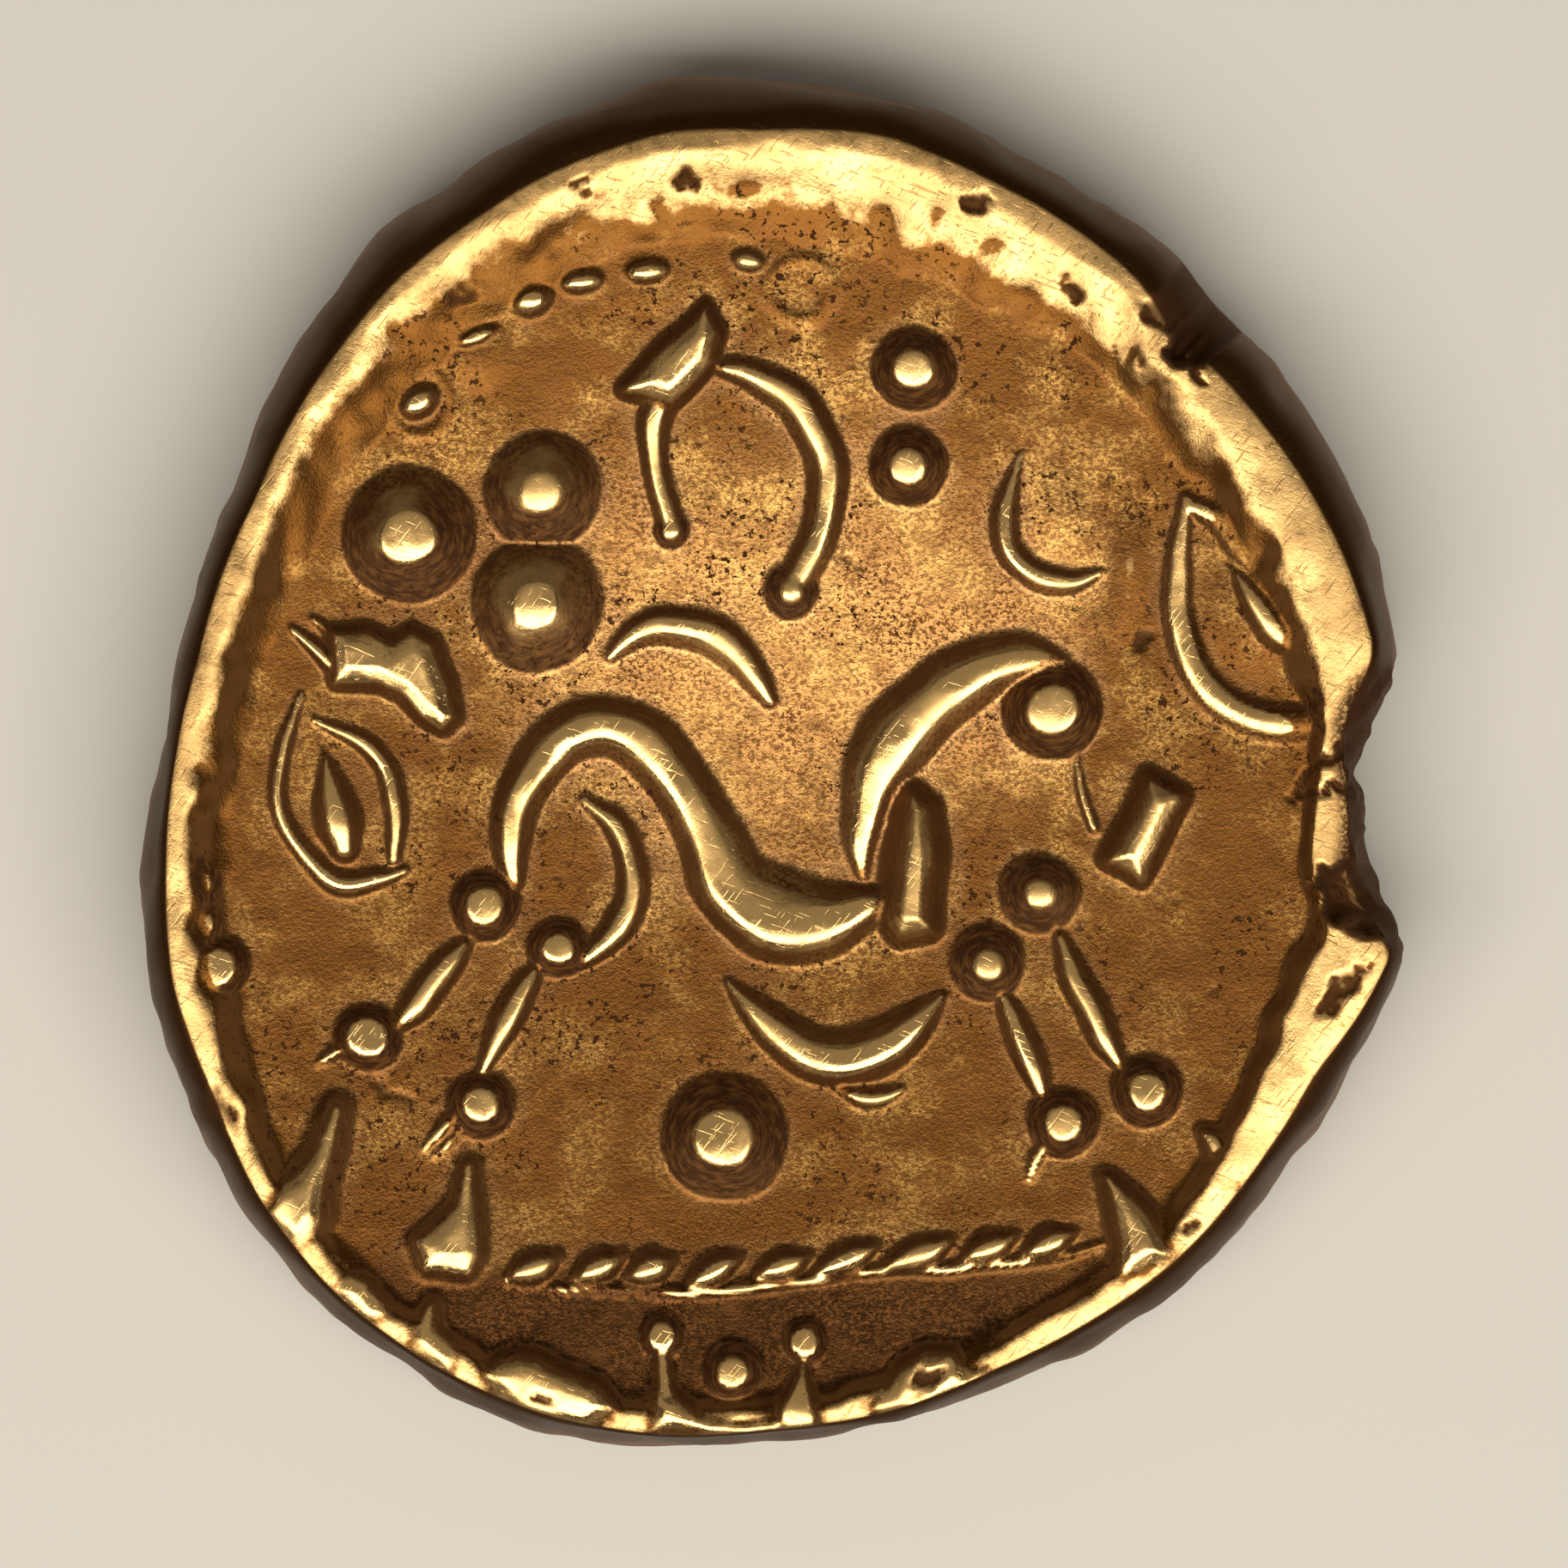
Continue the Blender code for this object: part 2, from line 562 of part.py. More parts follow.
def shaped(flat):
    """Places in millimetres for the corners of the flat hexagonal prism, one unit across and one deep."""
    angle, share = hexagon_place(flat[:, 0], flat[:, 1])
    level = flat[:, 2]
    shoulder, girth = (rim_radius(column, angle) for column in (3, 4))
    mean_shoulder = shoulder.mean()
    front_radius = share * (mean_shoulder + (shoulder - mean_shoulder) * share**2)
    struck = struck_height(front_radius * np.cos(angle), front_radius * np.sin(angle))
    struck += COIN_THICKNESS - struck[level == 1].max()

    turn = (1 - level) * math.pi / (2 * UPPER_SIDE)
    upper_radius = shoulder + (girth - shoulder) * np.sin(turn)
    upper_height = GIRTH_HEIGHT + (struck - GIRTH_HEIGHT) * np.cos(turn)
    back_edge = BACK_EDGE * girth
    lower_share = np.clip(level / (1 - UPPER_SIDE), 0, 1)
    lower_radius = back_edge + (girth - back_edge) * np.sin(lower_share * math.pi / 2)

    front, back, upper = level == 1, level == 0, level > 1 - UPPER_SIDE
    parts = [front, back, upper]
    radius = np.select(parts, [front_radius, share * back_edge, upper_radius], lower_radius)
    height = np.select(parts, [struck, back_height(radius, girth), upper_height], back_height(radius, girth))
    return np.stack([radius * np.cos(angle) * GRID_X, radius * np.sin(angle) * GRID_Y, height], axis=1)


def hexagonal_prism(bm):
    """A prism one unit across and one deep: a hexagon cut into triangles, extruded, its side cut into rows."""
    bmesh.ops.create_circle(bm, cap_ends=True, cap_tris=True, segments=6, radius=1)
    bmesh.ops.rotate(bm, verts=bm.verts, matrix=Matrix.Rotation(-first_corner_angle(bm), 3, "Z"))
    bmesh.ops.subdivide_edges(bm, edges=bm.edges[:], cuts=DISC_RINGS - 1, use_grid_fill=True)
    extruded = bmesh.ops.extrude_face_region(bm, geom=bm.faces[:], use_keep_orig=True)["geom"]
    top = [corner for corner in extruded if isinstance(corner, bmesh.types.BMVert)]
    bmesh.ops.translate(bm, verts=top, vec=(0, 0, 1))
    upright = [edge for edge in bm.edges if abs(edge.verts[0].co.z - edge.verts[1].co.z) > 0.5]
    bmesh.ops.subdivide_edges(bm, edges=upright, cuts=SIDE_RINGS - 1)
    bmesh.ops.recalc_face_normals(bm, faces=bm.faces)


def ordered(bm):
    """The corners' places and the faces of the mesh, in an order that depends on their places alone."""
    bm.verts.index_update()
    places = np.round(np.array([vert.co for vert in bm.verts]), 6)
    order = np.lexsort(places.T)
    rank = np.argsort(order).tolist()
    faces = []
    for face in bm.faces:
        corners = [rank[vert.index] for vert in face.verts]
        first = corners.index(min(corners))
        faces.append(corners[first:] + corners[:first])
    return places[order], sorted(faces)


def first_corner_angle(bm):
    """Angle in radians of the first corner of the hexagon, which turns to +X."""
    corner = next(vert for vert in bm.verts if vert.co.length > 0.5)
    return math.atan2(corner.co.y, corner.co.x)


def gold():
    """Worn gold with a warm brown tone."""
    material = bpy.data.materials.new("gold")
    material.use_nodes = True
    shader = material.node_tree.nodes["Principled BSDF"]
    shader.inputs["Base Color"].default_value = (0.62, 0.36, 0.13, 1)
    shader.inputs["Metallic"].default_value = 1
    shader.inputs["Roughness"].default_value = 0.35
    return material


def coin():
    """The struck coin, one closed body."""
    bm = bmesh.new()
    hexagonal_prism(bm)
    flat, faces = ordered(bm)
    bm.free()
    mesh = bpy.data.meshes.new("coin")
    mesh.from_pydata(shaped(flat) * MM, [], faces)
    mesh.materials.append(gold())
    piece = bpy.data.objects.new("coin", mesh)
    bpy.context.collection.objects.link(piece)
    mesh.calc_loop_triangles()
    thinned = piece.modifiers.new("fewer triangles", "DECIMATE")
    thinned.ratio = TRIANGLES / len(mesh.loop_triangles)
    thinned.use_collapse_triangulate = True
    mesh.shade_smooth()
    mesh.set_sharp_from_angle(angle=math.radians(SMOOTH_ANGLE))
    return piece


for leftover in list(bpy.data.objects):
    bpy.data.objects.remove(leftover)
coin()
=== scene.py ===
"""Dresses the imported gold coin: a fine struck surface, worn gold and a plain stage.

Places, radii and widths on the coin are in squares of a drawing grid, 160 to the coin's length, counted from its
middle. The frame gives the coin's real size.
"""

import math

import bpy
import numpy as np
from bpy.props import FloatProperty, FloatVectorProperty, PointerProperty
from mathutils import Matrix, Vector


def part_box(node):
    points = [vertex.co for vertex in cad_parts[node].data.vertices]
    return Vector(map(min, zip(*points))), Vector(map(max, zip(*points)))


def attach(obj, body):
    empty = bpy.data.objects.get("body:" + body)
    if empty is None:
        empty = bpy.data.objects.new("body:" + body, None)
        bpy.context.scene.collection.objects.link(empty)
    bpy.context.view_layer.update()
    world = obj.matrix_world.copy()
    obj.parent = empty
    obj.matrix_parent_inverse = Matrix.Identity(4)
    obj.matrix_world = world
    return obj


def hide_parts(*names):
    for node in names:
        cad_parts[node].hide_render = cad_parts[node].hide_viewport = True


bl_info = {
    "name": "Struck Gold Coin",
    "version": (1, 0, 0),
    "blender": (4, 5, 0),
    "location": "View3D > Sidebar > Gold Coin",
    "description": "Builds the fine surface, the worn gold and the stage of a struck gold coin",
    "category": "Object",
}

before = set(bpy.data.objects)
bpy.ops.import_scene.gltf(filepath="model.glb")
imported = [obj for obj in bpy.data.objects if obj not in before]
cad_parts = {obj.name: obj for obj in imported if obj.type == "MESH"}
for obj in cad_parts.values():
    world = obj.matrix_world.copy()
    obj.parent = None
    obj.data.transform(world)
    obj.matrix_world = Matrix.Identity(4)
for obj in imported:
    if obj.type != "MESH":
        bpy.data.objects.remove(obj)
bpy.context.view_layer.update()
LOW, HIGH = (Vector(corner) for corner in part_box("coin"))

# A millimetre in metres, and a length too small to matter that keeps a division from failing
MM = 0.001
TINY = 1e-9

# The drawing grid: squares across the coin, and their size in metres
SQUARES_LONG = 160.0
SQUARES_WIDE = 147.6
GRID_X = (HIGH.x - LOW.x) / SQUARES_WIDE
GRID_Y = (HIGH.y - LOW.y) / SQUARES_LONG
GRID = (GRID_X + GRID_Y) / 2
THICKNESS = HIGH.z - LOW.z

# The coin's section in metres, and in squares the width of the rim's land outside and the least of its slope inside
GIRTH_HEIGHT = 1.05 * MM
FLAT_SPOT_RADIUS = 2.6 * MM
LAND_FALL = 0.07 * MM
LAND_WIDTH = 4.0
LEAST_SLOPE = 1.2

# How steep a mark stands for its width, and the share of a crack's depth that a metre of width would give
PELLET_STEEPNESS = 0.72
RIDGE_STEEPNESS = 1.0
STEM_STEEPNESS = 2.0
STRAND_STEEPNESS = 1.6
CRACK_STEEPNESS = 9000.0

# How crowned a mark's top is, how its side curves, and the top's share of its width
CROWN = 0.05
SIDE_POWER = 1.3
PELLET_SIDE_POWER = 1.05
PLATE_SIDE_POWER = 1.2
BEAD_TOP = 0.4
RIDGE_TOP = 0.3
STEM_TOP = 0.55
CRACK_FLOOR = 0.2

# A plate's bevel: its width in squares and its share of the plate's height
PLATE_BEVEL = 1.6
BEVEL_SHARE = 0.3

# How finely a curve and the outline are worked out: steps between two points, a ridge's least width in squares,
# degrees between the outline's places and of its rounding to either side, and how many places that averages
CURVE_STEPS = 8
LEAST_WIDTH = 0.05
OUTLINE_STEP = 0.25
OUTLINE_BLUR = 2.0
BLUR_SAMPLES = 9

# Unevenness: its size, the length of its lumps in squares, and its seed. The size is in squares, and for the
# rim's lumps and slope and the ripples it is a share of their height
WAVER_X = (0.32, 5.0, 1)
WAVER_Y = (0.32, 5.0, 2)
RAGGED_FOOT = (0.45, 3.0, 5)
RAGGED_CREST = (0.7, 3.6, 8)
PIT_RAG_X = (0.9, 1.3, 11)
PIT_RAG_Y = (0.9, 1.3, 12)
BREAK_LUMPS = (1.0, 2.6, 21)
SIDE_DENTS = ((0.55, 9.0, 41), (0.22, 3.5, 42))
RIM_LUMPS = (0.05, 4.5, 6)
SLOPE_LUMPS = (0.5, 3.2, 7)
RIPPLES = ((0.55, 11.0, 31), (0.45, 5.0, 32), (0.3, 2.2, 33), (0.16, 1.1, 34))

# Mesh density: rings of the front and the back, rows of the side, and what a level and a sector may be off
FRONT_HALF_RINGS = 81
BACK_RINGS = 54
SIDE_ROWS = 10
LEVEL_TOLERANCE = 1e-4
SECTOR_TOLERANCE = 1e-6

# Shares of the side's rows above the girth, and of the girth's radius at the back's edge. For its dents the side
# is spread on a ring of this radius in squares, and they set in between these shares of the way to the girth
UPPER_SIDE = 0.6
BACK_EDGE = 0.86
SIDE_SPREAD = 70.0
DENTED = (0.1, 0.5)

# The broken stretch of the edge: where it starts and ends and how gradually, in degrees, how rough it is in
# squares, how far it is set back as a share of that, how far it reaches in from the shoulder in squares, and where
# down the side it sets in and ends
BREAK_START = -17.0
BREAK_END = 9.0
BREAK_FADE = 1.5
BREAK_ROUGHNESS = 0.9
BREAK_SETBACK = 0.6
BREAK_REACH = 2.5
BREAK_TOP = (0.0, 0.15)
BREAK_FOOT = (-1.0, -0.8)

# The rim's slope gets straight between these widths in squares. The rim is low at the bottom and worn bright at
# the upper right: the middle of each stretch, and how far to either side it is full and is gone, in degrees. The
# ranges are shares of the way up the slope over which the wear sets in
BROAD_RIM = (5.5, 8.5)
LOW_RIM = (268, 38, 62)
LOW_RIM_FALL = 0.45
BRIGHT_RIM = (72, 30, 52)
BRIGHT_WEAR = 0.75
BRIGHT_RANGE = (0.05, 0.4)
CREST_WEAR = 0.76
CREST_RANGE = (0.3, 0.95)

# How the finished surface is read: rounds of averaging, the ranges over which it counts as worn, hollow and so
# on, how much some of them add or take away, and the share of the side that still counts as front
NEAR_ROUNDS = 5
FAR_ROUNDS = 30
WORN_RANGE = (0.006 * MM, 0.03 * MM)
HOLLOW_RANGE = (0.002 * MM, 0.008 * MM)
HOLLOW_FAR_RANGE = (0.012 * MM, 0.05 * MM)
HOLLOW_DIRT = 0.6
# Steep slopes take the brown slope colour, partly dirt and partly painted shade; the rim takes less of it
STEEP_RANGE = (0.08, 0.26)
NEAR_RIM_RANGE = (0.0, 0.1)
RAISED_RANGE = (0.11, 0.22)
RAISED_WEAR = 0.85
RIM_LESS_DIRT_AND_SHADE = 0.35
# Slopes that face the key light take less of the brown, a painted light; this range is the normal's lean towards it
LIT_SIDE_PAINTED_LIGHT = 0.6
LIT_RANGE = (0.05, 0.4)
PITTED_RANGE = (0.008, 0.05)
FRONT_SHARE = 0.05

# The gold's clouds of colour and grain: size of the lumps in metres, detail and roughness
CLOUDS = {
    "drifts": (2.6 * MM, 3, 0.5),
    "speck groups": (1.6 * MM, 3, 0.6),
    "patches": (1.1 * MM, 4, 0.6),
    "blotches": (0.3 * MM, 4, 0.65),
    "specks": (0.11 * MM, 2, 0.7),
    "grains": (0.06 * MM, 4, 0.72),
    "streaks": (0.05 * MM, 3, 0.6),
    "first scratches": (0.04 * MM, 2, 0.5),
    "second scratches": (0.035 * MM, 2, 0.5),
    "fine grains": (0.028 * MM, 2, 0.6),
}

# Turn of the scratches in degrees, and how much longer they are than wide
FIRST_SCRATCHES = (52, 18)
SECOND_SCRATCHES = (-20, 14)

# The field's painted sheen: its middle and half size in squares, and how far its outline drifts for that size.
# Then the squares between which the exergue ends; below them the field takes a painted shade
BRIGHT_MIDDLE = (3, 16)
BRIGHT_REACH = (34, 28)
DRIFT = 1.2
EXERGUE = (-63, -54)

# From which value to which a cloud or a reading sets in, and its shares at both where they aren't 0 and 1
RANGES = {
    "first scratches": (0.62, 0.71),
    "second scratches": (0.64, 0.72),
    "toned": (0.8, 1.85),
    # The next four ranges set the painted sheen in the field's middle and keep it out of the exergue
    "brighter inward": (2.3, 1.2, 0.36, 1),
    "outside the exergue": (0, 1, 1, 0),
    "bright patch": (0.44, 0.66, 0, 0.9),
    "bright grain": (0.56, 0.42, 0.2, 1),
    "dark grain": (0.48, 0.56),
    "dark patch": (0.65, 0.35, 0.5, 1),
    "dark blotch": (0.42, 0.7, 0, 0.55),
    "pale lip": (0.65, 0.4, 0.05, 0.25),
    "toned rim": (0, 0.5, 0, 0.8),
    "streak": (0.4, 0.68),
    "dirty slope": (0.15, 0.85),
    "rolled side": (0.02, 0.09),
    "toned side": (0.45, 1),
    "crumb": (0.35, 0.55, 0.35, 1),
    "specks": (0.59, 0.65),
    "speck groups": (0.44, 0.58),
    "specked": (0.3, 0.7, 1, 0.15),
    "dull patch": (0.35, 0.65, -0.05, 0.12),
}

# What differs between the field and the rim: its value on each
ON_FIELD_AND_RIM = {
    "mottling": (0.7, 0.9),
    "least rubbed": (0.85, 0.95),
    "most rubbed": (1.4, 1.45),
    "scratch's colour": (0.15, 0.5),
    "lighter slope": (0.55, 1.0),
    "rubbed grain's depth": (0.15, 0.6),
    "scratch's depth": (0.5, 0.9),
}

# Shares in which clouds and readings are added or blended, and the roughness and metal of crumbs and slopes' brown
# The slopes' brown is partly dirt and partly painted shade for the dark reflection of steep sides
GRAIN_MOTTLING = 0.3
GRAIN_IN_DIRT_AND_SHADE = 0.25
PATCHY_SIDE = 0.06
PITTED_DIRT = 0.75
SCRATCH_DULLNESS = 0.35
GRAIN_RELIEF = 0.7
FINE_RELIEF = 0.3
SPECK_DEPTH = 0.5
DIRT_AND_SHADE_GRAIN = 0.35
UNRUBBED_SCRATCH = 0.04
STREAK_SPREAD = 0.25
CRUMB_ROUGHNESS = 0.8
DIRT_AND_SHADE_METAL = 0.65
CRUMB_METAL = 0.9

# The camera looks straight down on this place, and this many squares fill the picture
AIM_X = 1.1
AIM_Y = -2.3
SQUARES_SEEN = 182.6

# Each panel's two sides in metres, then its azimuth and elevation in degrees and its distance in metres
KEY_PANEL = ((0.34, 0.13), -90, 63, 0.2)
OVERHEAD_PANEL = ((0.7, 0.7), 90, 86, 0.4)
FLOOR_ROUGHNESS = 0.9
NEAREST_SEEN = 0.001

# Angle in degrees, then the radii in squares of the rim's foot, its crest, its outer shoulder and the girth
RIM = (
    (0, 62.0, 63.4, 66.2, 67.9), (6, 62.5, 65.0, 66.8, 72.8), (10, 59.5, 65.5, 71.0, 74.1),
    (20, 58.5, 64.8, 70.4, 74.4), (30, 58.5, 64.4, 69.4, 74.5), (40, 58.5, 64.8, 68.6, 75.2),
    (47, 59.5, 65.0, 67.8, 74.3), (52, 60.0, 68.0, 70.0, 76.0), (60, 59.0, 68.8, 71.2, 76.1),
    (70, 59.0, 69.8, 72.2, 77.5), (80, 60.0, 71.8, 74.0, 79.5), (90, 61.5, 72.2, 73.5, 80.3),
    (100, 62.0, 72.4, 74.2, 81.0), (110, 61.8, 71.6, 73.4, 80.0), (120, 61.0, 70.4, 72.0, 77.2),
    (128, 61.0, 69.8, 71.2, 77.7), (135, 60.0, 68.6, 69.9, 75.0), (145, 60.0, 67.6, 68.7, 72.8),
    (152, 59.8, 66.4, 67.8, 70.6), (160, 59.8, 66.0, 67.8, 71.4), (170, 60.2, 66.4, 68.1, 71.2),
    (180, 61.8, 68.4, 69.8, 71.8), (190, 64.4, 70.7, 71.8, 75.0), (200, 67.0, 72.8, 74.4, 77.8),
    (210, 69.4, 73.8, 75.5, 79.3), (220, 72.6, 76.6, 78.3, 81.0), (230, 75.4, 78.8, 80.0, 82.3),
    (240, 75.4, 79.0, 80.4, 82.6), (250, 75.2, 78.8, 80.3, 82.5), (260, 74.2, 77.8, 79.2, 80.8),
    (270, 72.6, 76.0, 77.4, 78.8), (280, 71.6, 75.0, 76.5, 78.5), (290, 70.2, 73.4, 74.9, 77.2),
    (300, 69.2, 72.5, 74.4, 77.5), (310, 68.4, 71.8, 74.1, 77.6), (320, 66.4, 69.8, 73.0, 76.3),
    (330, 64.4, 67.2, 72.2, 76.2), (338, 63.6, 66.4, 74.2, 77.0), (344, 64.5, 69.0, 75.2, 77.3),
    (348, 62.2, 63.6, 67.6, 72.9), (354, 62.0, 63.3, 67.4, 69.8),
)

# Name, then the middle x and y, the foot's radius and the top's radius, in squares
PELLETS = {
    "rear upper": (-42.6, 26.7, 8.0, 2.9),
    "rear top": (-27.1, 31.9, 7.2, 2.2),
    "rear lower": (-27.7, 18.5, 8.0, 2.4),
    "front upper": (16.2, 46.2, 5.0, 2.0),
    "front lower": (15.5, 34.7, 4.8, 1.9),
    "head": (32.4, 6.4, 6.0, 2.7),
    "belly": (-5.8, -43.5, 7.6, 3.1),
    "near knee": (24.9, -23.4, 4.6, 1.4),
    "far knee": (30.8, -15.2, 5.0, 1.4),
    "near stifle": (-33.8, -16.4, 4.2, 2.0),
    "far stifle": (-25.4, -21.5, 3.7, 1.7),
    "near hind fetlock": (-47.4, -32.0, 4.0, 2.2),
    "far hind fetlock": (-34.2, -39.7, 4.0, 1.9),
    "near fore fetlock": (33.8, -41.7, 4.2, 1.9),
    "far fore fetlock": (43.4, -38.3, 4.4, 2.1),
    "left hook end": (-12.1, 27.2, 2.2, 0.8),
    "right hook end": (1.8, 20.0, 3.4, 1.0),
    "left post": (-13.3, -66.4, 2.6, 1.6),
    "right post": (3.6, -67.3, 2.6, 1.6),
    "between the posts": (-4.9, -70.7, 3.7, 1.8),
    "right eye's corner": (65.0, 6.2, 3.4, 2.0),
    "left rim upper": (-67.2, -13.6, 2.8, 1.8),
    "left rim middle": (-67.2, -18.2, 2.8, 1.8),
    "left rim lower": (-65.0, -23.6, 3.9, 2.2),
}

# Name, then the middle x and y, the foot's half length and half width in squares, and the turn in degrees
BEADS = {
    "border 1": (-49.9, 38.3, 2.6, 1.7, 35.0),
    "border 2": (-41.5, 42.2, 2.9, 1.9, 25.0),
    "crescent on the border dome": (-35.0, 50.0, 3.0, 1.1, 22.0),
    "border 3": (-28.4, 53.9, 3.2, 2.0, 12.0),
    "border 4": (-22.5, 56.1, 2.7, 1.6, 8.0),
    "border 5": (-15.0, 57.5, 3.0, 1.5, 6.0),
    "border 6": (-3.2, 58.6, 2.2, 1.4, 0.0),
}

# Name, then the middle x and y, the radius and the half width of a low ring, in squares
RINGS = {
    "ring around border 2": (-41.5, 42.0, 3.6, 1.2),
    "worn border ring": (3.0, 55.5, 3.6, 1.3),
}

# Name, then the middle x and y, the half length and half width in squares, and the turn in degrees, of a low dome
DOMES = {
    "worn border dome": (-34.6, 47.3, 5.0, 4.6, 0.0),
    "leaf beside the head": (33.4, 28.0, 8.2, 5.2, 104.0),
    "low right lobe": (26.5, -67.0, 4.0, 2.6, 0.0),
    "swelling by the right eye": (41.2, 22.0, 9.0, 3.2, 84.0),
    "right eye's ball": (55.6, 16.4, 8.6, 6.0, -60.0),
    "first lobe of the left rim": (-60.8, 17.6, 3.6, 2.8, 60.0),
    "second lobe of the left rim": (-62.8, 9.4, 3.4, 2.8, 75.0),
    "third lobe of the left rim": (-65.4, -3.6, 3.8, 2.8, 95.0),
    "fourth lobe of the left rim": (-66.0, -32.0, 3.6, 2.6, 115.0),
}

# Name, then along the crest: x, y and the width of both sides, or of the left and the right side of the way, in
# squares
RIDGES = {
    "haunch, back and belly": (
        (-30.4, -14.0, 1.2), (-31.0, -9.5, 2.4), (-29.4, -3.5, 3.1), (-26.3, 1.3, 3.6, 3.0),
        (-22.6, 4.2, 3.5, 4.0), (-18.8, 4.5, 3.2, 4.2), (-15.0, 2.4, 3.7, 4.0), (-11.8, -1.4, 4.0, 3.7),
        (-8.8, -7.5, 4.8, 3.4), (-6.2, -14.3, 6.6, 3.6), (-2.4, -18.2, 7.8, 4.1), (2.0, -19.6, 7.6, 4.2),
        (6.6, -18.8, 6.0, 3.8), (10.8, -16.5, 2.8), (13.0, -15.0, 1.0),
    ),
    "neck and mane": (
        (10.1, -13.2, 1.0, 0.8), (10.6, -8.5, 3.2, 1.7), (12.0, -2.5, 4.4, 2.8), (14.6, 2.8, 5.2, 4.2),
        (18.3, 6.8, 4.9, 4.1), (22.3, 9.5, 4.9, 3.6), (26.3, 11.4, 4.2, 3.0), (30.3, 12.1, 3.1, 2.0),
        (33.8, 12.0, 1.0, 0.8),
    ),
    "hook's left arm": (
        (-13.2, 43.0, 2.2), (-14.0, 39.5, 2.0), (-13.9, 36.0, 1.7), (-13.3, 32.0, 1.6), (-12.2, 27.8, 1.6),
    ),
    "hook's right arm": (
        (-6.4, 46.2, 1.1, 1.2), (-2.2, 45.3, 1.9, 2.3), (2.3, 42.7, 2.4, 2.9), (5.2, 38.0, 2.5, 2.9),
        (6.2, 33.0, 2.4, 2.8), (5.4, 27.5, 2.3, 2.5), (3.7, 23.5, 2.3, 2.4), (1.8, 20.2, 2.3),
    ),
    "crescent above the back": (
        (-19.4, 12.2, 0.7), (-16.2, 15.2, 1.8, 2.0), (-12.7, 16.3, 2.3, 2.6), (-8.2, 15.8, 2.3, 2.9),
        (-4.7, 13.3, 2.2, 2.8), (-2.2, 10.2, 1.9, 2.2), (-0.7, 7.5, 1.1),
    ),
    "crescent below the belly": (
        (-5.2, -25.4, 0.6), (-2.2, -29.0, 2.0), (1.3, -32.2, 3.2, 2.8), (4.8, -34.3, 3.9, 3.0),
        (8.8, -35.0, 4.2, 2.9), (12.8, -33.2, 3.6, 3.0), (16.3, -30.2, 2.4, 2.5), (19.6, -27.0, 0.6),
    ),
    "fold under the crescent": ((7.3, -37.9, 0.5), (11.0, -39.2, 1.3, 1.4), (14.6, -38.0, 0.5)),
    "leaf's thin crescent": (
        (28.6, 36.0, 0.4), (27.0, 30.0, 1.5), (27.6, 25.0, 1.8), (30.6, 22.0, 1.9, 1.7),
        (34.3, 20.9, 1.6, 1.4), (37.8, 22.2, 0.5),
    ),
    "tail": (
        (-22.2, -4.2, 0.7), (-18.7, -7.0, 1.8), (-16.9, -11.5, 2.0), (-16.9, -16.0, 2.0),
        (-18.7, -19.5, 1.9), (-21.7, -22.2, 1.3), (-24.0, -23.9, 0.6),
    ),
    "near hind leg": ((-35.4, -20.2, 0.7), (-38.2, -23.5, 2.0), (-41.5, -27.8, 2.1), (-43.8, -30.5, 1.2)),
    "far hind leg": ((-27.4, -22.8, 0.6), (-29.4, -26.0, 1.8), (-31.7, -30.5, 2.0), (-34.2, -35.8, 0.9)),
    "near fore leg": ((25.8, -25.5, 0.6), (27.8, -30.0, 1.8), (30.0, -35.0, 1.9), (31.8, -39.2, 0.8)),
    "far fore leg": ((32.8, -19.5, 0.6), (35.3, -25.0, 2.0), (38.0, -31.0, 2.2), (40.6, -35.8, 0.9)),
    "near hind toe": ((-48.0, -32.6, 1.5), (-50.5, -33.6, 1.1), (-53.2, -35.0, 0.4)),
    "far hind toe, upper": ((-35.7, -40.0, 1.0), (-38.4, -42.2, 0.9), (-41.0, -44.8, 0.4)),
    "far hind toe, lower": ((-36.2, -42.0, 0.6), (-38.0, -44.0, 0.6), (-39.8, -45.8, 0.3)),
    "near fore toe": ((32.6, -43.0, 0.9), (30.6, -45.8, 0.9), (29.7, -49.0, 0.3)),
    "left eye, outer lid": (
        (-55.4, 7.8, 0.4), (-57.2, 2.8, 1.1), (-58.0, -2.5, 1.2), (-57.0, -7.2, 1.2), (-54.2, -11.2, 1.2),
        (-50.4, -14.0, 1.5), (-46.2, -13.4, 1.2), (-43.0, -12.4, 0.6),
    ),
    "left eye, inner lid": (
        (-54.0, 5.2, 0.4), (-48.7, 3.0, 1.2), (-45.6, -0.5, 1.4), (-43.9, -5.5, 1.5), (-44.2, -11.0, 0.9),
    ),
    "left eye, pupil": ((-52.6, 1.0, 0.5), (-51.6, -3.5, 2.2), (-50.7, -7.2, 3.0), (-50.2, -9.8, 2.0)),
    "right eye, pupil": (
        (53.4, 23.0, 0.4), (55.8, 19.2, 1.6, 1.8), (58.6, 15.5, 1.8, 2.4), (60.6, 13.0, 1.0, 1.2),
    ),
    "claw, upper prong": ((-54.0, 16.8, 0.4), (-51.2, 15.0, 1.0), (-48.7, 13.5, 1.8)),
    "claw, lower prong": ((-56.4, 15.7, 0.4), (-53.4, 13.2, 1.1), (-50.2, 10.5, 1.8)),
    "rein": ((35.1, 1.8, 0.3), (35.8, -3.0, 0.7), (37.3, -7.5, 0.7)),
    "ground line": (
        (-26.2, -61.2, 0.5), (-5.2, -61.3, 0.8), (9.8, -59.4, 0.8), (29.8, -58.0, 0.8), (38.6, -56.0, 0.5),
    ),
}

